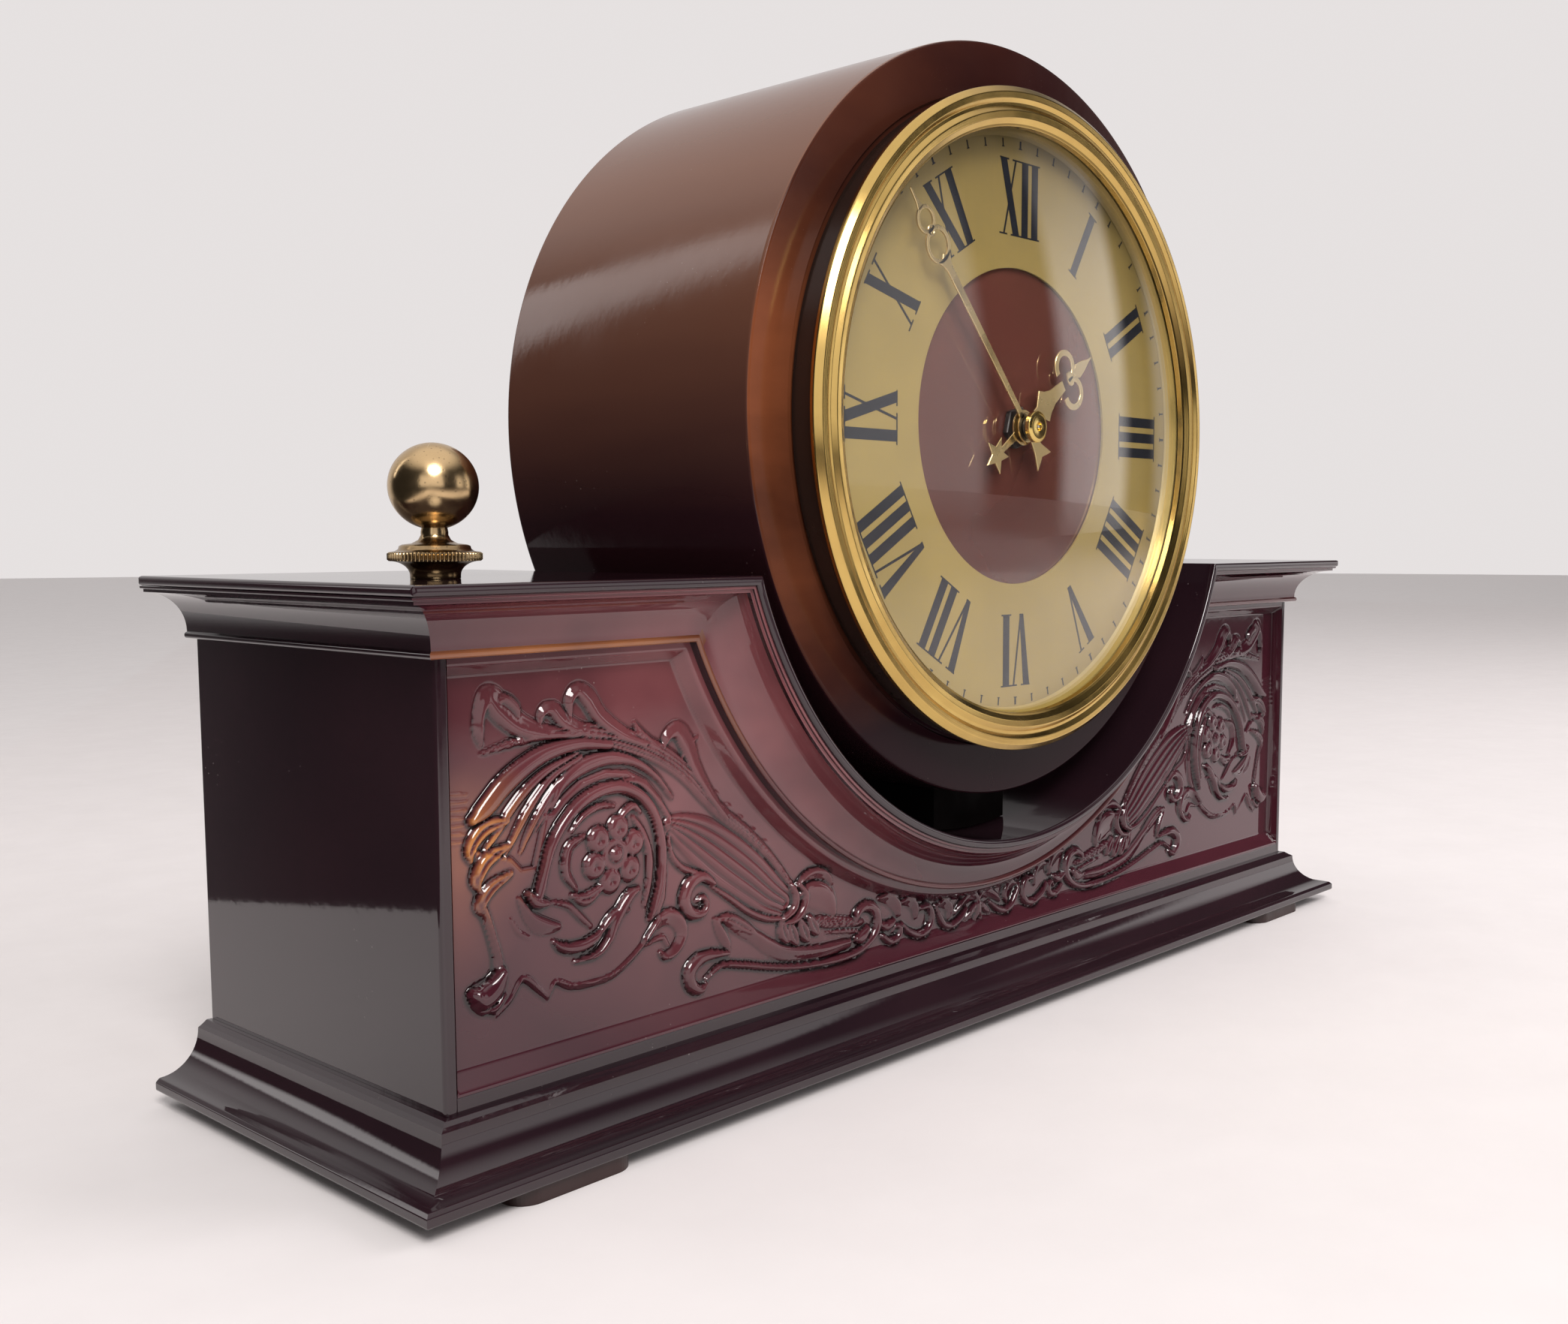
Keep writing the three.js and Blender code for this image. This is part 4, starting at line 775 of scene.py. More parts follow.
    (1.7, LEAF, [(-87, 42.6, 1.2), (-85.6, 39.4, 2.2), (-84.4, 37, 1)]),
    (1.7, LEAF, [(-82.8, 42.4, 1.2), (-81.2, 39.4, 2.2), (-80, 37, 1)]),
    (1.6, LEAF, [(-78.8, 42.6, 1.2), (-77.4, 40.2, 2), (-76, 38.2, 1)]),
    (1.5, HOLLOW, [(-82.6, 49.6, 1), (-79, 49.4, 3.2), (-75, 48.4, 4), (-72, 46.6, 3.6), (-70, 43.6, 2),
        (-69.4, 41.8, 0.6)]),
    (2.2, HOLLOW, [(-84, 52.4, 0.6), (-80.6, 54.3, 1.4), (-76.4, 54.8, 1.7), (-72.6, 53.4, 1.5),
        (-70.4, 50.6, 0.7)]),
    (1.3, FLUTED, [(-77, 41.6, 1.2), (-71, 40.2, 1.8), (-65.6, 39.2, 1.6), (-60.6, 38.2, 1.3),
        (-57, 37.6, 0.8)]),
    (0.8, TUBE, [(-72, 37.4, 0.4), (-65, 36.4, 0.6), (-58.6, 35.2, 0.4)]),
    # long pod along the bottom, rolled over at its right end
    (1.9, TUBE, [(-117.6, 34, 0.5), (-112, 36.4, 0.8), (-104, 34.9, 0.9), (-96, 32.8, 0.9), (-86, 30.7, 1),
        (-76, 29.5, 1), (-66, 29.1, 1.1), (-58.6, 29.9, 1.2), (-53, 32.8, 1.5), (-50.8, 36.8, 1.7),
        (-52.3, 40.6, 1.8), (-56, 42, 1.6), (-59.4, 40.8, 1.3), (-60.6, 38.2, 0.6)]),
    (1.4, HOLLOW, [(-110.6, 47, 0.4), (-105, 44, 1.3), (-100, 41.6, 1.8), (-95, 38.2, 2.1), (-89, 35, 2.2),
        (-81, 33.2, 2.1), (-72, 32.3, 1.9), (-63, 32.6, 1.4)]),
    (1.9, TUBE, [(-109.6, 39.2, 0.7), (-115, 39.9, 1.3), (-119.6, 39.6, 1.8), (-122.9, 37.2, 2.1),
        (-122.6, 33.8, 1.8), (-119.8, 31.7, 1.3), (-117.4, 32.8, 0.6)]),
    (1.5, HOLLOW, [(-114, 48.6, 0.6), (-112.2, 45.4, 1.4), (-110.2, 42, 1.3), (-109.2, 39.4, 0.5)]),
    (1.6, LEAF, [(-113.4, 48.8, 0.5), (-109, 48, 1.5), (-104.4, 45.4, 1.7), (-99.4, 42.4, 0.7)]),
    (1.8, TUBE, [(-60, 33.4, 1), (-57.6, 33.4, 2), (-55.4, 35.4, 1.2)]),
    # garland of small scrolls towards the middle
    (1.9, HOLLOW, [(-50, 43, 0.6), (-46, 42.6, 2), (-42.6, 40, 2.1), (-41.6, 37, 0.9)]),
    (1.7, TUBE, [(-49.8, 35.6, 0.7), (-46.6, 34.4, 1.6), (-43.6, 35.6, 0.8)]),
    (1.7, TUBE, [(-48.6, 32, 0.8), (-45.4, 29.8, 1.2), (-42, 30.2, 1.3), (-40.9, 32.8, 1.1),
        (-42.8, 34, 0.8), (-44.2, 32.4, 0.4)]),
    (1.9, TUBE, [(-40, 34, 0.6), (-36.8, 31, 1.1), (-32.2, 29.3, 1.3), (-28.2, 30.2, 1.4),
        (-26.4, 33.6, 1.4), (-28, 37, 1.3), (-31.6, 37.2, 0.9)]),
    (1.7, HOLLOW, [(-40.4, 40.2, 0.6), (-36.8, 40.2, 1.7), (-34, 38, 1.6), (-33.6, 34.8, 0.8)]),
    (1.8, TUBE, [(-24.6, 36.6, 0.6), (-22.8, 33.2, 1.2), (-20.6, 30.3, 1.3), (-17, 29.2, 1.2),
        (-13, 30.4, 1.1), (-9.4, 33, 0.7)]),
    (1.8, HOLLOW, [(-23.4, 36.4, 0.6), (-20, 36.8, 1.8), (-17.6, 34.4, 1.6), (-18.4, 31.6, 0.6)]),
    (1.8, HOLLOW, [(-14.6, 32.6, 0.6), (-11.4, 35, 1.4), (-8, 36.4, 1.7), (-5, 36, 1.4),
        (-3.5, 34.4, 0.9)]),
    (1.5, LEAF, [(-9.6, 29.6, 0.5), (-7, 31.6, 1.2), (-4.6, 33.6, 0.8)]),
    (1.6, TUBE, [(-5, 28.8, 0.5), (-4, 31, 1), (-3.5, 33.8, 1.3)]),
]

ROSETTE = (-147.4, 71.0)
PETAL_REACH = 6.3
PETAL_R = 3.3

# The raised ground behind the scroll and the leaf.
GROUND = [
    (-188, 44.5), (-185.6, 41.6), (-181.2, 39), (-177.6, 41.6), (-174, 46), (-170.4, 43), (-166.9, 39.8),
    (-164.8, 43.2), (-160, 41.2), (-154, 40.6), (-148, 41.2), (-142.4, 43.8), (-137.6, 47.2),
    (-133.6, 51.4), (-130.6, 57), (-129.8, 64), (-130.4, 71.6), (-128.6, 77.4), (-131.6, 82.6),
    (-136, 87.4), (-142, 90.4), (-149, 91.4), (-156.6, 89.8), (-162.4, 86), (-165, 83.4), (-167, 83),
    (-168.4, 78), (-170.4, 71.6), (-173.4, 71.6), (-176, 74.4), (-181, 76), (-186.6, 78), (-186.4, 72),
    (-185.4, 64.4), (-183.4, 61), (-181.8, 56), (-180.4, 50.6), (-183, 48.4), (-187, 47.6)]

ORNAMENT_SCALE = 1.009              # from the ornament's own millimetres to the panel
ORNAMENT_SHIFT = (3.5, -1.3)
GROUND_RISE = 0.8
CELL = 0.4
FRAME_DROP = 18.0                   # from the slab's top to the frame's inner edge
BEVEL_TOP, BEVEL_LOW, BEVEL_SIDE = 2.6, 4.0, 0.9


def on_panel(x, z):
    return ORNAMENT_SCALE * x + ORNAMENT_SHIFT[0], ORNAMENT_SCALE * z + ORNAMENT_SHIFT[1]


def smooth_path(stations, spacing=0.35):
    """Catmull-Rom through (x, z, half width) stations."""
    p = np.array(stations, float)
    p = np.vstack([2 * p[0] - p[1], p, 2 * p[-1] - p[-2]])
    out = []
    for i in range(1, len(p) - 2):
        a, b, c, d = p[i - 1:i + 3]
        steps = max(2, int(np.hypot(*(c - b)[:2]) / spacing))
        for k in range(steps):
            t = k / steps
            out.append(0.5 * (2 * b + (c - a) * t + (2 * a - 5 * b + 4 * c - d) * t ** 2
                              + (3 * b - a - 3 * c + d) * t ** 3))
    out.append(p[-2])
    return np.array(out)


def section_height(kind, u, side):
    """Height from 0 to 1 across a stroke: u is the distance from its middle over its half width."""
    dome = np.sqrt(np.clip(1 - u * u, 0, 1))
    if kind == LEAF:
        return dome * (1 - 0.45 * np.exp(-(u / 0.22) ** 2))
    if kind == HOLLOW:
        return dome * (0.45 + 0.55 * np.clip((u * side + 0.55) / 1.2, 0, 1) ** 1.2)
    if kind == FLUTED:
        return dome * (0.74 + 0.26 * np.cos(u * side * 2.5 * 2 * math.pi))
    return dome


def stroke_onto(field, ground, X, Z, height, kind, stations):
    path = smooth_path([(*on_panel(x, z), w) for x, z, w in stations])
    reach = path[:, 2].max() + 0.5
    lo = path[:, :2].min(0) - reach
    hi = path[:, :2].max(0) + reach
    rows = np.where((Z[:, 0] >= lo[1]) & (Z[:, 0] <= hi[1]))[0]
    cols = np.where((X[0] >= lo[0]) & (X[0] <= hi[0]))[0]
    if not len(rows) or not len(cols):
        return
    window = np.ix_(rows, cols)
    x, z = X[window], Z[window]
    tangent = np.gradient(path[:, :2], axis=0)
    nearest = np.full(x.shape, 1e9)
    height_here = np.zeros(x.shape)
    for (px, pz, w), (tx, tz) in zip(path, tangent):
        dx, dz = x - px, z - pz
        u = np.sqrt(dx * dx + dz * dz) / w
        closer = u < nearest
        if not closer.any():
            continue
        side = np.where(tx * dz - tz * dx >= 0, 1.0, -1.0)
        nearest = np.where(closer, u, nearest)
        h = section_height(kind, np.minimum(u, 1), side) * height * min(1.0, 0.35 + w / 1.6)
        height_here = np.where(closer, h, height_here)
    inside = nearest < 1
    raised = np.where(inside, ground[window] + height_here, 0)
    field[window] = np.maximum(field[window], raised)


def softened(field, rounds):
    """The field averaged with its neighbours, over and over."""
    for _ in range(rounds):
        moved = sum(np.roll(field, step, (0, 1)) for step in ((0, 1), (0, -1), (1, 0), (-1, 0)))
        field = (field + moved) / 5
    return field


def raised_ground(X, Z):
    """The low raised ground behind the ornament, with sloping edges."""
    edge = np.array([on_panel(x, z) for x, z in GROUND])
    inside = np.zeros(X.shape, bool)
    gap = np.full(X.shape, 1e9)
    for (x0, z0), (x1, z1) in zip(edge, np.roll(edge, -1, axis=0)):
        inside ^= ((z0 > Z) != (z1 > Z)) & (X < (x1 - x0) * (Z - z0) / (z1 - z0 + 1e-12) + x0)
        length = (x1 - x0) ** 2 + (z1 - z0) ** 2
        t = np.clip(((X - x0) * (x1 - x0) + (Z - z0) * (z1 - z0)) / length, 0, 1)
        gap = np.minimum(gap, np.hypot(X - x0 - t * (x1 - x0), Z - z0 - t * (z1 - z0)))
    rise = np.clip(gap / 0.9, 0, 1)
    return np.where(inside, GROUND_RISE * rise * (2 - rise), 0)


def rosette_onto(field, ground, X, Z):
    """Six dented petals round a raised boss."""
    cx, cz = on_panel(*ROSETTE)
    for k in range(6):
        t = math.radians(78 + 60 * k)
        away = np.hypot(X - cx - PETAL_REACH * math.cos(t), Z - cz - PETAL_REACH * math.sin(t))
        dent = 1 - 0.4 * np.exp(-(away / 1.5) ** 2)
        dome = np.sqrt(np.clip(1 - (away / PETAL_R) ** 2, 0, 1))
        field = np.maximum(field, np.where(away < PETAL_R, ground + 2.0 * dome * dent, 0))
    d = np.hypot(X - cx, Z - cz)
    field = np.maximum(field, np.where(d < 4.4, ground + 1.2 * np.clip((4.4 - d) / 0.8, 0, 1), 0))
    boss = np.sqrt(np.clip(1 - (d / 1.9) ** 2, 0, 1))
    return np.maximum(field, np.where(d < 1.9, ground + 1.3 + 1.1 * boss, 0))


def relief():
    """Heights over the left half of the panel, and the grid that they stand on."""
    xs = -RECESS_HALF_W + CELL * np.arange(int(round(RECESS_HALF_W / CELL)) + 1)
    xs = np.minimum(xs, 0)
    zs = np.arange(RECESS_BOTTOM_Z - 0.6, SLAB_TOP_Z - CORNICE_BOTTOM + 1.6, CELL)
    X, Z = np.meshgrid(xs, zs)
    ground = raised_ground(X, Z)
    field = rosette_onto(ground.copy(), ground, X, Z)
    for height, kind, stations in STROKES:
        stroke_onto(field, ground, X, Z, height, kind, stations)
    # faint tooling: hatches by the left edge and stipple beside the saddle's moulding
    for k in range(7):
        z = 79.5 + 1.75 * k
        hatch = [(-195, z + 0.7, 0.3), (-191, z + 0.2, 0.35), (-187.5, z, 0.25)]
        stroke_onto(field, ground, X, Z, 0.22, TUBE, hatch)
    for k in range(16):
        x, z = -117 + 1.5 * k, 82 - 1.25 * k + 1.2 * (k % 3)
        dash = [(x, z, 0.2), (x + 1.2, z - 0.9, 0.45), (x + 2.2, z - 1.8, 0.2)]
        stroke_onto(field, ground, X, Z, 0.3, TUBE, dash)
    return xs, zs, 0.75 * field + 0.25 * softened(field, 1)


def case_front():
    parts = Parts()
    body_walls(parts)
    parts.piece("case_walls", CASE, slot="case_plastic", replaces=["base_shell"])
    xs, zs, left = relief()
    heights = np.hstack([left, left[:, -2::-1]])
    X, Z = np.meshgrid(np.concatenate([xs, -xs[-2::-1]]), zs)
    # the frame: a flat edge under the cornice, and a bevel down to the sunk ground all round
    below = np.minimum(SLAB_TOP_Z - Z, np.hypot(X, SADDLE_Z - Z) - SADDLE_R)
    frame_edge = np.maximum.reduce([
        (FRAME_DROP + BEVEL_TOP - below) / BEVEL_TOP, (RECESS_BOTTOM_Z + BEVEL_LOW - Z) / BEVEL_LOW,
        (abs(X) - RECESS_HALF_W + BEVEL_SIDE) / BEVEL_SIDE])
    raised = np.maximum(heights, (RECESS_DEPTH - 0.02) * np.clip(frame_edge, 0, 1))
    Y = BODY_FRONT_Y + RECESS_DEPTH - raised
    keep = np.hypot(X, Z - SADDLE_Z) > SADDLE_R + CORNICE_BOTTOM - 2.4
    index = np.arange(X.size).reshape(X.shape)
    corners = [(slice(None, -1), slice(None, -1)), (slice(None, -1), slice(1, None)),
               (slice(1, None), slice(1, None)), (slice(1, None), slice(None, -1))]
    quads = np.stack([index[c] for c in corners], -1).reshape(-1, 4)
    quads = quads[np.logical_and.reduce([keep[c] for c in corners]).reshape(-1)]
    used = np.zeros(X.size, bool)
    used[quads.reshape(-1)] = True
    faces = (np.cumsum(used) - 1)[quads].tolist()
    verts = np.stack([X, Y, Z], -1).reshape(-1, 3)[used]
    ob = shape("carved_panel", verts, faces, FRONT, slot="case_plastic", crease=55, weld=False)
    # how deep each point lies below its surroundings; the front material paints shade there
    hollow = np.clip(softened(heights, 8) - heights, 0, 1).reshape(-1)[used]
    ob.data.attributes.new("hollow", "FLOAT", "POINT").data.foreach_set("value", hollow.astype(np.float32))


# ---------------------------------------------------------------- finial


def finial():
    base = SLAB_TOP_Z + 0.02
    ball_r, ball_z, ball_start = 10.2, 157.6, -1.28
    rim_r, rim_z = 10.7, 140.95
    ball = []
    for i in range(41):
        t = ball_start + (math.pi / 2 - ball_start) * i / 40
        ball.append((max(0.0, ball_r * math.cos(t)), ball_z + 0.97 * ball_r * math.sin(t)))
    waist = quarter(5.7, base + 0.8, rim_r - 0.4, rim_z - 0.35, 10)
    rim = [(rim_r, rim_z), (rim_r, 141.4), (rim_r, 141.9), (rim_r, 142.3), (rim_r - 0.5, 142.6)]
    neck = [(8.9, 142.85), (8.2, 143.3), (8, 144), (7.3, 144.35),
            (5.2, 144.6), (3.7, 145.4), (3.1, 146.5), (3.1, 147.2)]
    section = [(0, base), (5.6, base), (5.7, base + 0.1), *waist, *rim, *neck, *ball]

    def knurl(t, r, z):
        return 0.5 * abs(math.sin(KNURLS / 2 * t)) if r > rim_r - 0.45 and z > rim_z - 0.35 else 0.0
    v, f = turned_up(section, FINIAL_X, FINIAL_Y, KNURLS * 8, knurl)
    shape("finial_turned", v, f, FINIAL, slot="finial_brass", replaces=["finial"], crease=50)


# ---------------------------------------------------------------- drum, bezel and glass


def drum():
    inner, front = DRUM_R - DRUM_WALL, DRUM_FRONT_Y
    section = rounded([
        (DRUM_R, front, 1.1), (FACE_HOLE_R + 5.6, front, 0.25), (FACE_HOLE_R + 5.2, front + 0.7, 0.2),
        (FACE_HOLE_R, front + 0.7), (FACE_HOLE_R, front + DRUM_WALL), (inner, front + DRUM_WALL),
        (inner, DRUM_BACK_Y - 0.1, 0.4), (DRUM_R, DRUM_BACK_Y - 0.1, 0.8)], 7)
    parts = Parts().add(*turned(section, 288))
    boss = rounded([(0, 29), (9, 29, 0.8), (9, 42.6, 0.5), (0, 42.6)])
    for t in COVER_SCREWS:
        parts.add(*turned(boss, 48, COVER_SCREW_R * math.cos(t), AXIS_Z + COVER_SCREW_R * math.sin(t)))
    ob = parts.piece("drum_polished", [DRUM, DRUM_FRONT], slot="drum_plastic", replaces=["drum_shell"])
    for p in ob.data.polygons:
        if p.center.y < (front + 1.4) * MM and p.normal.y < -0.5:
            p.material_index = 1


def rear_cover():
    """A dished cover with two raised rings and ten short ribs, and a wide hole for the battery."""
    low, mid, high = 43, 45.2, 46
    face = rounded([
        (45, low), (104.3, low), (104.3, mid + 0.2, 0.6), (101.5, high, 0.4), (100.5, mid, 0.4),
        (60, mid, 0.4), (59, high, 0.4), (50.5, high, 0.4), (49.5, mid, 0.4), (47.5, mid, 0.4),
        (46.5, high, 0.4), (45, high, 0.5)])
    cover = Parts().add(*turned(face, 192))
    for k in range(10):
        t = math.radians(126 + k * 18 + (36 if k > 4 else 0))
        c, s = math.cos(t), math.sin(t)
        ends = [(66, -1.1), (90, -1.1), (90, 1.1), (66, 1.1)]
        rib = [(c * r - s * w, AXIS_Z + s * r + c * w) for r, w in ends]
        cover.add(*slab_between(rib, 44.9, high, 0.3))
    cover.piece("rear_cover_ribbed", DARK, slot="dark_plastic", replaces=["drum_rear_cover"])


def bezel_and_glass():
    collar = rounded([(86, -50.2), (93.4, -50.2), (93.4, -57.2, 0.6), (92.6, -57.9, 0.4), (86, -57.9)], 5)
    lathe("collar_turned", collar, 256, COLLAR, slot="collar_plastic", replaces=["bezel_collar"])
    ring = rounded([
        (84, -58), (95.2, -58, 0.3), (95.2, -59.3, 0.8), (93.4, -60.9, 0.7), (91.7, -60.9, 0.6),
        (90.5, -60, 0.45), (89.6, -60.1, 0.4), (88.2, -61.15, 0.7), (86.4, -60.9, 0.8),
        (84.9, -59.9, 0.3), (84.2, -59.6, 0.2)], 6)
    lathe("bezel_spun", ring, 288, BEZEL, slot="bezel_brass", replaces=["bezel"], crease=50)
    rise, thick, steps = 7.6, 1.8, 40
    radius = (DIAL_R * DIAL_R + rise * rise) / (2 * rise)
    front = []
    for i in range(steps + 1):
        r = DIAL_R * i / steps
        front.append((r, GLASS_APEX_Y + radius - math.sqrt(radius * radius - r * r)))
    rear = [(r, y + thick) for r, y in reversed(front)]
    pane = lathe("glass_domed", front + rear, 192, GLASS, slot="glass", replaces=["glass"], crease=40)
    pane.visible_shadow = False
    foot = DIAL_Y - 0.15
    wall = rounded([(82.7, foot), (85.4, foot), (85.4, -55.6, 0.3),
                    (84.5, -55.6, 0.3), (83.4, -53.4, 0.4)], 4)
    lathe("rehaut_ring", wall, 256, DIAL, slot="dial_metal", replaces=["rehaut"])
    seat = rounded([(80, DIAL_Y + 3.4), (88.7, DIAL_Y + 3.4), (88.7, -45.7), (101, -45.7, 0.4),
                    (101, -43.7, 0.4),
                    (80, -43.7, 0.4)], 3)
    lathe("dial_seat_ring", seat, 128, DARK, slot="dark_plastic", replaces=["dial_seat"])


# ---------------------------------------------------------------- dial


NUMERALS = ["XII", "I", "II", "III", "IIII", "V", "VI", "VII", "VIII", "IX", "X", "XI"]
NUMERAL_IN, NUMERAL_OUT = 55.0, 76.6
BAR, HAIR, SERIF = 3.1, 0.75, 0.45
STEP = {"I": 4.9, "V": 9.6, "X": 9.8}
PRINT_LIFT = 0.06


def box(x0, x1, v0, v1):
    return [(x0, v0), (x1, v0), (x1, v1), (x0, v1)]


def letter(kind, x):
    """Polygons of one letter about x, from its foot at 0 to its head at the numeral's height."""
    h = NUMERAL_OUT - NUMERAL_IN
    half = STEP[kind] / 2
    head = h - SERIF
    if kind == "I":
        return [box(x - BAR / 2, x + BAR / 2, 0, h),
                box(x - half, x + half, 0, SERIF), box(x - half, x + half, head, h)]
    reach = half - 1.7
    left, right = x - reach, x + reach
    if kind == "V":
        return [[(left - BAR / 2, h), (x - 0.5 - HAIR, 0), (x + 0.7, 0), (left + BAR / 2, h)],
                [(x - 0.4, 0), (x + 0.4, 0), (right + HAIR, h), (right, h)],
                box(x - half, x - 0.4, head, h), box(right - 1.4, x + half, head, h)]
    return [[(left - BAR / 2, h), (right - BAR / 2, 0), (right + BAR / 2, 0), (left + BAR / 2, h)],
            [(left, 0), (left + HAIR, 0), (right, h), (right - HAIR, h)],
            box(x - half, left + 2, 0, SERIF), box(x + 0.6, x + half, 0, SERIF),
            box(x - half, x - 0.6, head, h), box(right - 2, x + half, head, h)]


def dial():
    front, back = DIAL_Y, DIAL_Y + 0.8
    ring = [(CENTRE_DISC_R, back), (CENTRE_DISC_R, front + 0.1), (CENTRE_DISC_R + 0.25, front),
            (DIAL_R, front),
            (DIAL_R, back)]
    lathe("chapter_ring_grained", ring, 256, DIAL, slot="dial_metal", replaces=["chapter_ring"])
    sheet, hole_r = DIAL_Y + 1.1, 4.3
    disc = [(hole_r, sheet), (DIAL_R, sheet), (DIAL_R, sheet + 2), (hole_r, sheet + 2)]
    lathe("centre_disc_polished", disc, 192, DISC, slot="disc_plastic", replaces=["dial_centre_disc"])
    ink = Parts()

    def stamp(points, turn, layer=0):
        """Prints an outline drawn with +v outwards, turned clockwise from twelve."""
        c, s, n = math.cos(turn), math.sin(turn), len(points)
        flat = [(u * c + v * s, AXIS_Z - u * s + v * c) for u, v in points]
        levels = (front - PRINT_LIFT - 0.004 * layer, front + 0.01)
        sides = [(i, (i + 1) % n, (i + 1) % n + n, i + n) for i in range(n)]
        ink.add([(x, y, z) for y in levels for x, z in flat], [tuple(range(n)), *sides])
    for hour, text in enumerate(NUMERALS):
        x = -sum(STEP[c] for c in text) / 2
        for c in text:
            for n, poly in enumerate(letter(c, x + STEP[c] / 2)):
                stamp([(u, v + NUMERAL_IN) for u, v in poly], hour * math.pi / 6, n)
            x += STEP[c]
    mark_in, mark_out = 79.8, 82.2
    for minute in range(60):
        w = 0.75 if minute % 5 == 0 else 0.55
        turn = minute * math.pi / 30
        stamp(box(-w / 2, w / 2, mark_in, mark_out), turn)
        stamp(box(-w, w, mark_in, mark_in + 0.3), turn, 1)
    ink.piece("dial_print", PRINT, crease=20, weld=False)


# ---------------------------------------------------------------- hands


def arc(x, y, r, start, stop, steps):
    return [(x + r * math.cos(math.radians(start + (stop - start) * i / steps)),
             y + r * math.sin(math.radians(start + (stop - start) * i / steps))) for i in range(steps + 1)]


def band(path, width):
    """Outline of a ribbon along a path, with a half width for each end or one for all."""
    p = np.array(path, float)
    t = np.gradient(p, axis=0)
    t /= np.hypot(t[:, 0], t[:, 1])[:, None]
    n = np.stack([-t[:, 1], t[:, 0]], 1)
    w = np.linspace(width[0], width[1], len(p))[:, None] if isinstance(width, tuple) else width
    return [tuple(q) for q in p + n * w] + [tuple(q) for q in (p - n * w)[::-1]]


def hand(name, plates, y, turn, body, slot, replaces):
    """Thin stamped plates with eased edges. Each is an outline, or (x, v, outer, inner) of a ring."""
    parts = Parts()
    c, s = math.cos(turn), math.sin(turn)
    back, ease = y + HAND_T, 0.12
    for plate in plates:
        if isinstance(plate, tuple):
            x, v0, outer, inner = plate
            corners = ((inner, y), (outer, y), (outer, back), (inner, back))
            section = rounded([(*corner, ease) for corner in corners], 2)
            verts, faces = turned(section, 72, x, v0)
        else:
            verts, faces = slab_between(plate, y, back, ease)
        parts.add([(u * c + v * s, yy, AXIS_Z - u * s + v * c) for u, yy, v in verts], faces)
    parts.piece(name, GILT, slot=slot, body=body, replaces=replaces, crease=28)


def mirrored(half):
    """A closed outline from its right half, given from one end on the axis or near it to the other."""
    return half + [(-x, v) for x, v in reversed(half) if x]


def hands():
    tail = mirrored([(0, -11.2), (2.2, -12.2), (4.4, -13), (2.2, -8), (1.2, -3.4)])
    shaft = mirrored([(0.95, 3.5), (1.35, 55), (1.9, 57.2), (3.4, 59.6), (1.2, 59.2), (0, 60.2)])
    tip = mirrored([(1.3, 74.5), (0.6, 76.8), (0.25, 81)])
    knot = band(arc(0, 67.6, 1.3, 0, 360, 20)[:-1], 0.35)
    hand("minute_hand_stamped", [(0, 0, 4.4, 1.25), shaft,
                                 (0, 63.2, 5.2, 3.95), (0, 71.2, 3.9, 2.8), knot, tip, tail],
         MINUTE_HAND_Y, MINUTE_TURN, "minute_arbor", "hand_brass", ["minute_hand"])
    spiral = arc(4.4, 28, 4.3, -95, 190, 28)
    star = []
    for k in range(10):
        r = 2.5 if k % 2 else 5.6
        a = k * math.pi / 5 - math.pi / 2
        star.append((r * math.cos(a), -15.5 + r * math.sin(a)))
    leaf = mirrored([(1.4, 4.8), (1.7, 9), (3.4, 10.6), (5.2, 12.4), (3.6, 14.6), (2.4, 17.6), (1.6, 24.5)])
    spear = mirrored([(1, 31), (2.3, 33.6), (1.6, 37), (0.5, 40), (0.15, 42)])
    stem = [(1.3, -4.6), (-1.3, -4.6), (-0.9, -13), (0.9, -13)]
    curls = [band(spiral, (1.0, 0.75)), band([(-x, v) for x, v in spiral], (1.0, 0.75))]
    eyes = [(0.9, 28.8, 1.35, 0.05), (-0.9, 28.8, 1.35, 0.05)]
    hand("hour_hand_stamped", [(0, 0, 5.2, 2.85), leaf, *curls, *eyes, spear, stem, star],
         HOUR_HAND_Y, HOUR_TURN, "hour_pipe", "hand_brass", ["hour_hand"])


def hub():
    """The cap that holds the hands, the arbor's tip in it, and the nut behind the hands."""
    face, neck = -60, -57.9
    cap = rounded([
        (0, face + 0.8), (1.2, face + 0.8), (1.3, face + 0.05, 0.1), (3.6, face, 0.5), (4.6, face + 0.5, 0.4),
        (4.6, -58, 0.2), (3.2, neck), (3.2, -56.3), (0, -56.3)], 4)
    ob = lathe("hand_cap_turned", cap, 96, [CAP, DARK], slot="hand_brass",
               body="minute_arbor", replaces=["hand_cap"])
    for p in ob.data.polygons:
        p.material_index = int(p.center.y > (neck - 0.2) * MM)
    pin = rounded([(0, -59.9), (0.45, -59.9, 0.25), (0.55, -59.1), (0, -59.1)], 4)
    lathe("arbor_tip", pin, 48, STEEL, slot="hand_brass", body="minute_arbor")
    corners = [math.radians(60 * k + 15) for k in range(6)]
    six = [(6.4 * math.cos(t), AXIS_Z + 6.4 * math.sin(t)) for t in corners]
    nut = Parts().add(*slab_between(six, -53.0, DIAL_Y + 0.9))
    nut.piece("fixing_nut_hex", DARK, slot="hand_brass", replaces=["fixing_nut"])


# ---------------------------------------------------------------- back and small pieces


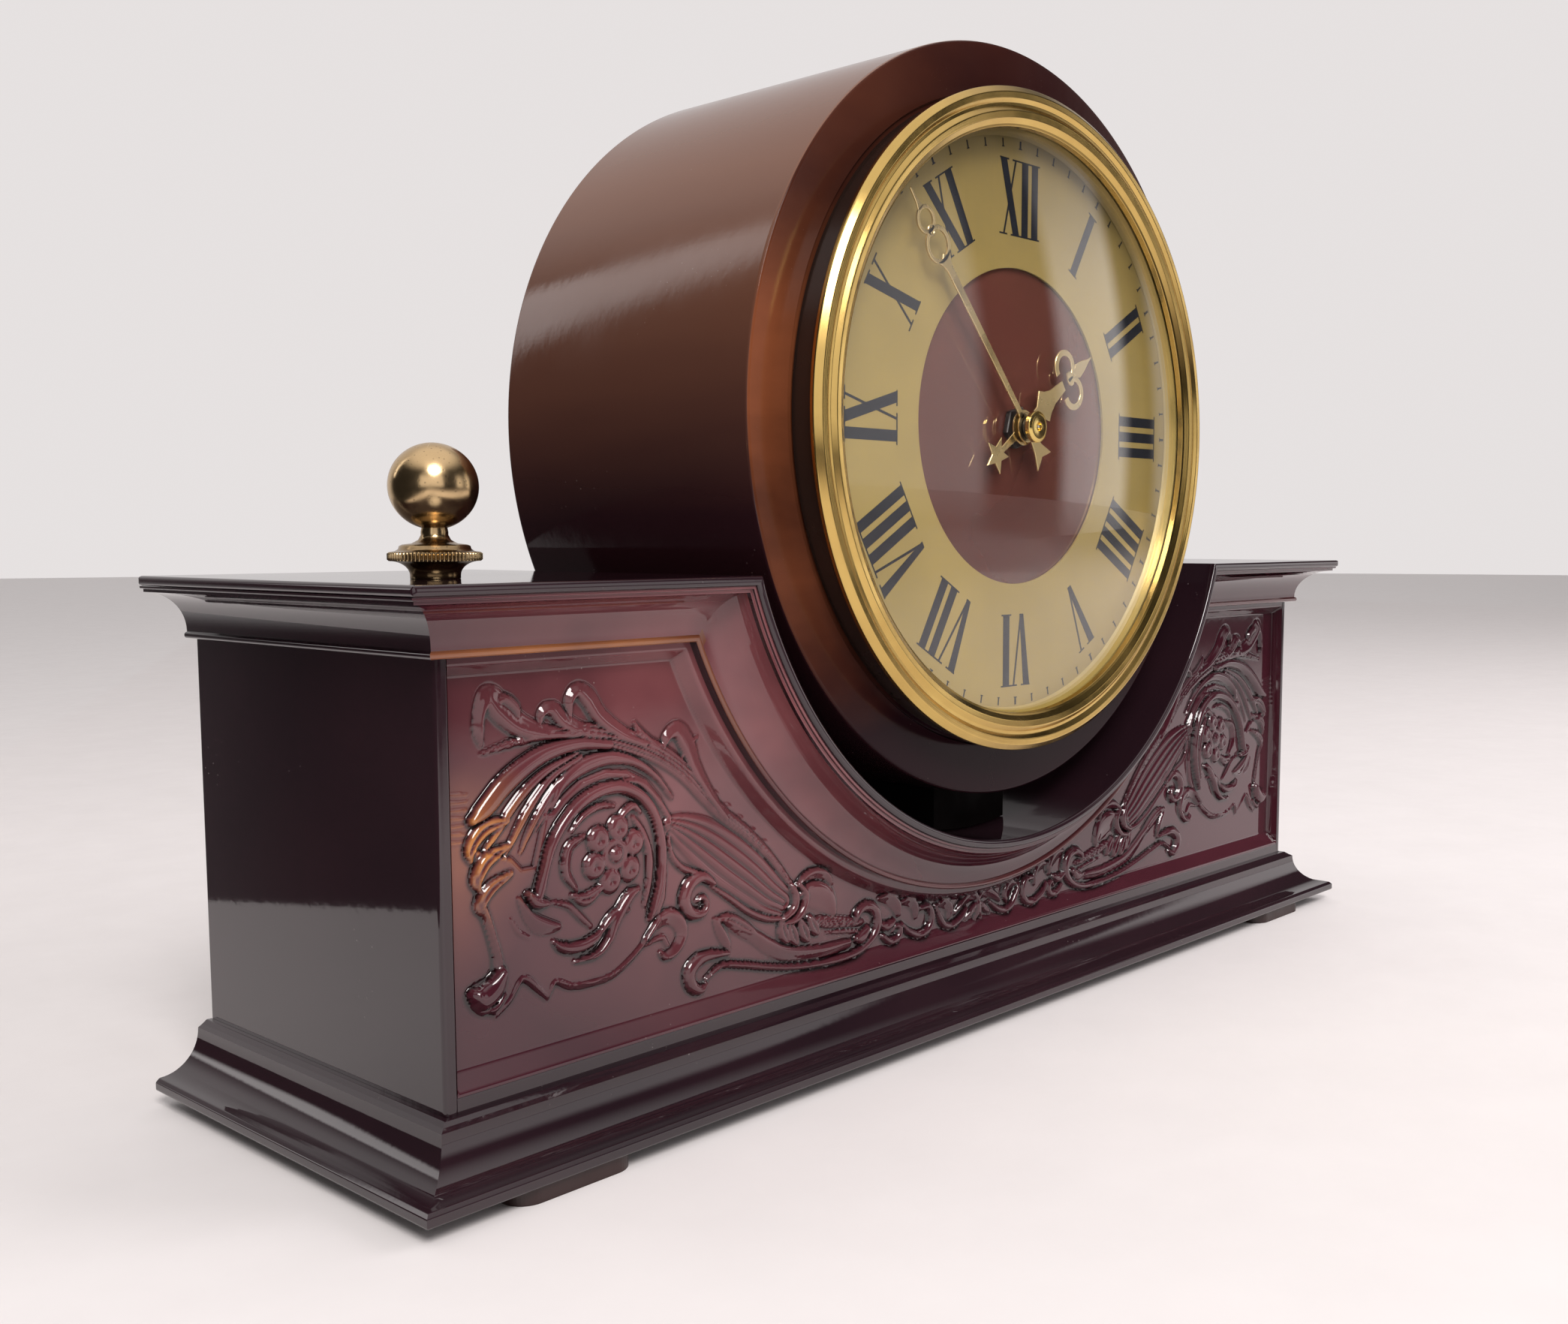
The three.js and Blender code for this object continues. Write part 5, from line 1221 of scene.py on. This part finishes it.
def screw_head(name, x, z, y, replaces):
    """A pan head with a cross recess, over the CAD shank."""
    n, r, levels = 64, 3.0, 12
    circle = [2 * math.pi * k / n for k in range(n)]
    verts = []
    for i in range(levels + 1):
        q = r * i / levels
        for t in circle:
            u, v = q * math.cos(t), q * math.sin(t)
            dome = 1.1 * math.sqrt(max(0.0, 1 - (q / r) ** 2 * 0.86))
            deep = min(abs(u), abs(v)) < 0.42 and max(abs(u), abs(v)) < 1.75
            verts.append((x + u, y + 0.3 + dome - (0.75 if deep else 0), z + v))
    verts += [(x + r * math.cos(t), y + 0.1, z + r * math.sin(t)) for t in circle]
    faces = []
    for a in range((levels + 1) * n):
        b = a // n * n + (a + 1) % n
        faces.append((a, b, b + n, a + n))
    faces.append(tuple((levels + 1) * n + k for k in range(n)))
    shape(name, verts, faces, STEEL, slot="steel", replaces=replaces, crease=45)


def back():
    panel_back = BACK_Y - 1.5
    x = BODY_HALF_W - WALL - GAP - 7
    for i, (side, z) in enumerate([(-1, 24), (1, 24), (-1, 108), (1, 108)], 1):
        screw_head(f"panel_screw_{i}", side * x, z, panel_back, [f"base_back_screw_{i}"])
    for i, t in enumerate(COVER_SCREWS, 1):
        z = AXIS_Z + COVER_SCREW_R * math.sin(t)
        screw_head(f"cover_screw_{i}", COVER_SCREW_R * math.cos(t), z, 46, [f"rear_cover_screw_{i}"])


def inside():
    """Finishes for the CAD nodes that are shown as they are."""
    dress(HARDBOARD, "base_back_panel", "rear_post_left", "rear_post_right", "bottom_plate", ease=0.4)
    dress(FOOT, "foot_front_left", "foot_front_right", "foot_rear_left", "foot_rear_right", ease=0.6)
    dress(BLOCK, "saddle_block", ease=0.5)
    dress(STEEL, "drum_bolt_front", "drum_bolt_rear", "drum_nut_front", "drum_nut_rear", "finial_nut",
          "finial_stud", ease=0.2)
    dress(STEEL, "stator", "battery_contact_flat", "battery_contact_spring")
    dress(WHITE, "centre_wheel", "hour_wheel", "minute_wheel", "third_wheel", "second_wheel", "coil_bobbin")
    dress(DARK, "movement_cover", ease=0.3)
    dress(DARK, "movement_case", ease=0.35)
    dress(DARK, "setting_knob", ease=0.2)
    dress(RUBBER, "rubber_washer", ease=0.2)
    dress(DARK, "threaded_bushing")
    dress(FERRITE, "rotor")
    dress(COPPER, "coil_winding")
    dress(BOARD, "circuit_board")
    dress(BATTERY, "battery", ease=0.2)


# ---------------------------------------------------------------- camera, floor and light


def place(name, data):
    ob = bpy.data.objects.new(name, data)
    bpy.context.scene.collection.objects.link(ob)
    return ob


def camera():
    lens = bpy.data.cameras.new("camera")
    ob = place("camera", lens)
    forward = Vector((0.738989, 0.666784, -0.096414)).normalized()
    right = forward.cross(Vector((0, 0, 1))).normalized()
    turn = Matrix((right, right.cross(forward), -forward)).transposed().to_4x4()
    roll = Matrix.Rotation(math.radians(-0.075), 4, "Z")
    ob.matrix_world = Matrix.Translation((-0.38421, -0.32985, 0.14596)) @ turn @ roll
    lens.sensor_width = 36
    lens.lens = 36.09
    lens.shift_x, lens.shift_y = -0.03746, 0.01727
    lens.clip_start, lens.clip_end = 0.01, 50
    bpy.context.scene.camera = ob


PALE = (0.80, 0.775, 0.77)


def ground(name, outline, look, z=0.0):
    mesh = bpy.data.meshes.new(name)
    mesh.from_pydata([(x, y, z) for x, y in outline], [], [tuple(range(len(outline)))])
    mesh.materials.append(look.mat)
    sheet = place(name, mesh)
    return sheet


def floor():
    reach, corners = 6.0, 96
    turns = [2 * math.pi * k / corners for k in range(corners)]
    circle = [(reach * math.cos(t), reach * math.sin(t)) for t in turns]
    wide = ground("floor", circle, moulded("pale_floor", PALE, 0.6, 60, 0.02, 0.97))
    wide.visible_glossy = False
    # what the polish mirrors is a sheet of the same pale stuff that ends beside and before the clock; towards
    # the camera its colour fades to near black, painted darkness for the unlit room in front of the clock
    look = Look("pale_sheet")
    fade = look.ramp(look.split()[1], -0.82, -0.42)
    look.color(look.blend(fade, (0.05, 0.04, 0.04), PALE))
    look.smeared(0.6, 0.8, 60, 3)
    near = ground("floor_sheet", [(-1.16, -1.15), (3, -1.15), (3, 3), (1.345, 3)], look, 0.0002)
    near.visible_camera = near.visible_diffuse = near.visible_transmission = near.visible_shadow = False


def softbox(name, where, size, power, tone, mirrored=True):
    """A round soft light that looks at the clock."""
    light = bpy.data.lights.new(name, "AREA")
    light.shape = "DISK"
    light.size = size
    light.energy = power
    light.color = tone
    lamp = place(name, light)
    lamp.location = where
    lamp.rotation_mode = "QUATERNION"
    lamp.rotation_quaternion = (Vector((0, 0, 0.12)) - Vector(where)).to_track_quat("-Z", "Y")
    lamp.visible_camera = False
    lamp.visible_glossy = lamp.visible_transmission = mirrored


# Light cards round the clock: heading and width in degrees, lowest and highest upward slope, strength.
CARDS = [(-53, 18, -0.06, 0.34, 0.95), (-27, 11, -0.06, 0.34, 1.25), (-12, 7, -0.05, 0.30, 0.5),
         (-128, 60, -0.05, 0.45, 0.95), (118, 8, 0.24, 0.72, 1.8)]


def sky():
    """A pale backdrop for the camera; what lights and is mirrored is a ceiling, a wall and cards."""
    world = bpy.data.worlds.new("studio")
    bpy.context.scene.world = world
    world.use_nodes = True
    nodes, links = world.node_tree.nodes, world.node_tree.links
    nodes.clear()

    def calc(operation, a, b=0.0):
        n = nodes.new("ShaderNodeMath")
        n.operation = operation
        for socket, value in zip(n.inputs, (a, b)):
            if hasattr(value, "is_linked"):
                links.new(value, socket)
            else:
                socket.default_value = value
        return n.outputs[0]

    def slope(value, low, high):
        n = nodes.new("ShaderNodeMapRange")
        n.interpolation_type = "SMOOTHSTEP"
        n.inputs["From Min"].default_value, n.inputs["From Max"].default_value = low, high
        links.new(value, n.inputs["Value"])
        return n.outputs[0]

    def card(heading, width, low, high, strength):
        off = calc("ABSOLUTE", calc("SUBTRACT", bearing, math.radians(heading)))
        band = slope(off, math.radians(width / 2 + 1.5), math.radians(width / 2 - 1.5))
        tall = calc("MULTIPLY", slope(dz, low - 0.05, low + 0.05), slope(dz, high + 0.12, high - 0.12))
        return calc("MULTIPLY", calc("MULTIPLY", band, tall), strength)

    def background(color, strength=1.0):
        n = nodes.new("ShaderNodeBackground")
        n.inputs["Color"].default_value = (*color, 1)
        if hasattr(strength, "is_linked"):
            links.new(strength, n.inputs["Strength"])
        return n.outputs[0]
    parts = nodes.new("ShaderNodeSeparateXYZ")
    links.new(nodes.new("ShaderNodeTexCoord").outputs["Generated"], parts.inputs[0])
    dx, dy, dz = parts.outputs
    bearing = calc("ARCTAN2", dy, dx)
    wall = calc("MULTIPLY", slope(dy, 0.1, 0.45), slope(dx, -0.50, -0.12))
    light = calc("MAXIMUM", calc("MULTIPLY", wall, 0.62), calc("MULTIPLY", slope(dz, 0.55, 0.92), 0.95))
    for heading, width, low, high, strength in CARDS:
        light = calc("ADD", light, card(heading, width, low, high, strength))
    light = calc("ADD", light, 0.03)
    mix = nodes.new("ShaderNodeMixShader")
    links.new(nodes.new("ShaderNodeLightPath").outputs["Is Camera Ray"], mix.inputs[0])
    links.new(background((1.0, 0.955, 0.95), light), mix.inputs[1])
    links.new(background((0.79, 0.755, 0.75)), mix.inputs[2])
    links.new(mix.outputs[0], nodes.new("ShaderNodeOutputWorld").inputs[0])


def stage():
    camera()
    floor()
    softbox("key", (-0.9, -1.3, 1.5), 0.9, 32, (1.0, 0.955, 0.94))
    softbox("fill", (1.2, -1.1, 1.0), 1.1, 14, (1.0, 0.94, 0.95), False)
    sky()
    bpy.context.scene.view_settings.view_transform = "Standard"


stage()
top_slab()
cornice()
skirt()
case_front()
finial()
drum()
rear_cover()
bezel_and_glass()
dial()
hands()
hub()
back()
inside()
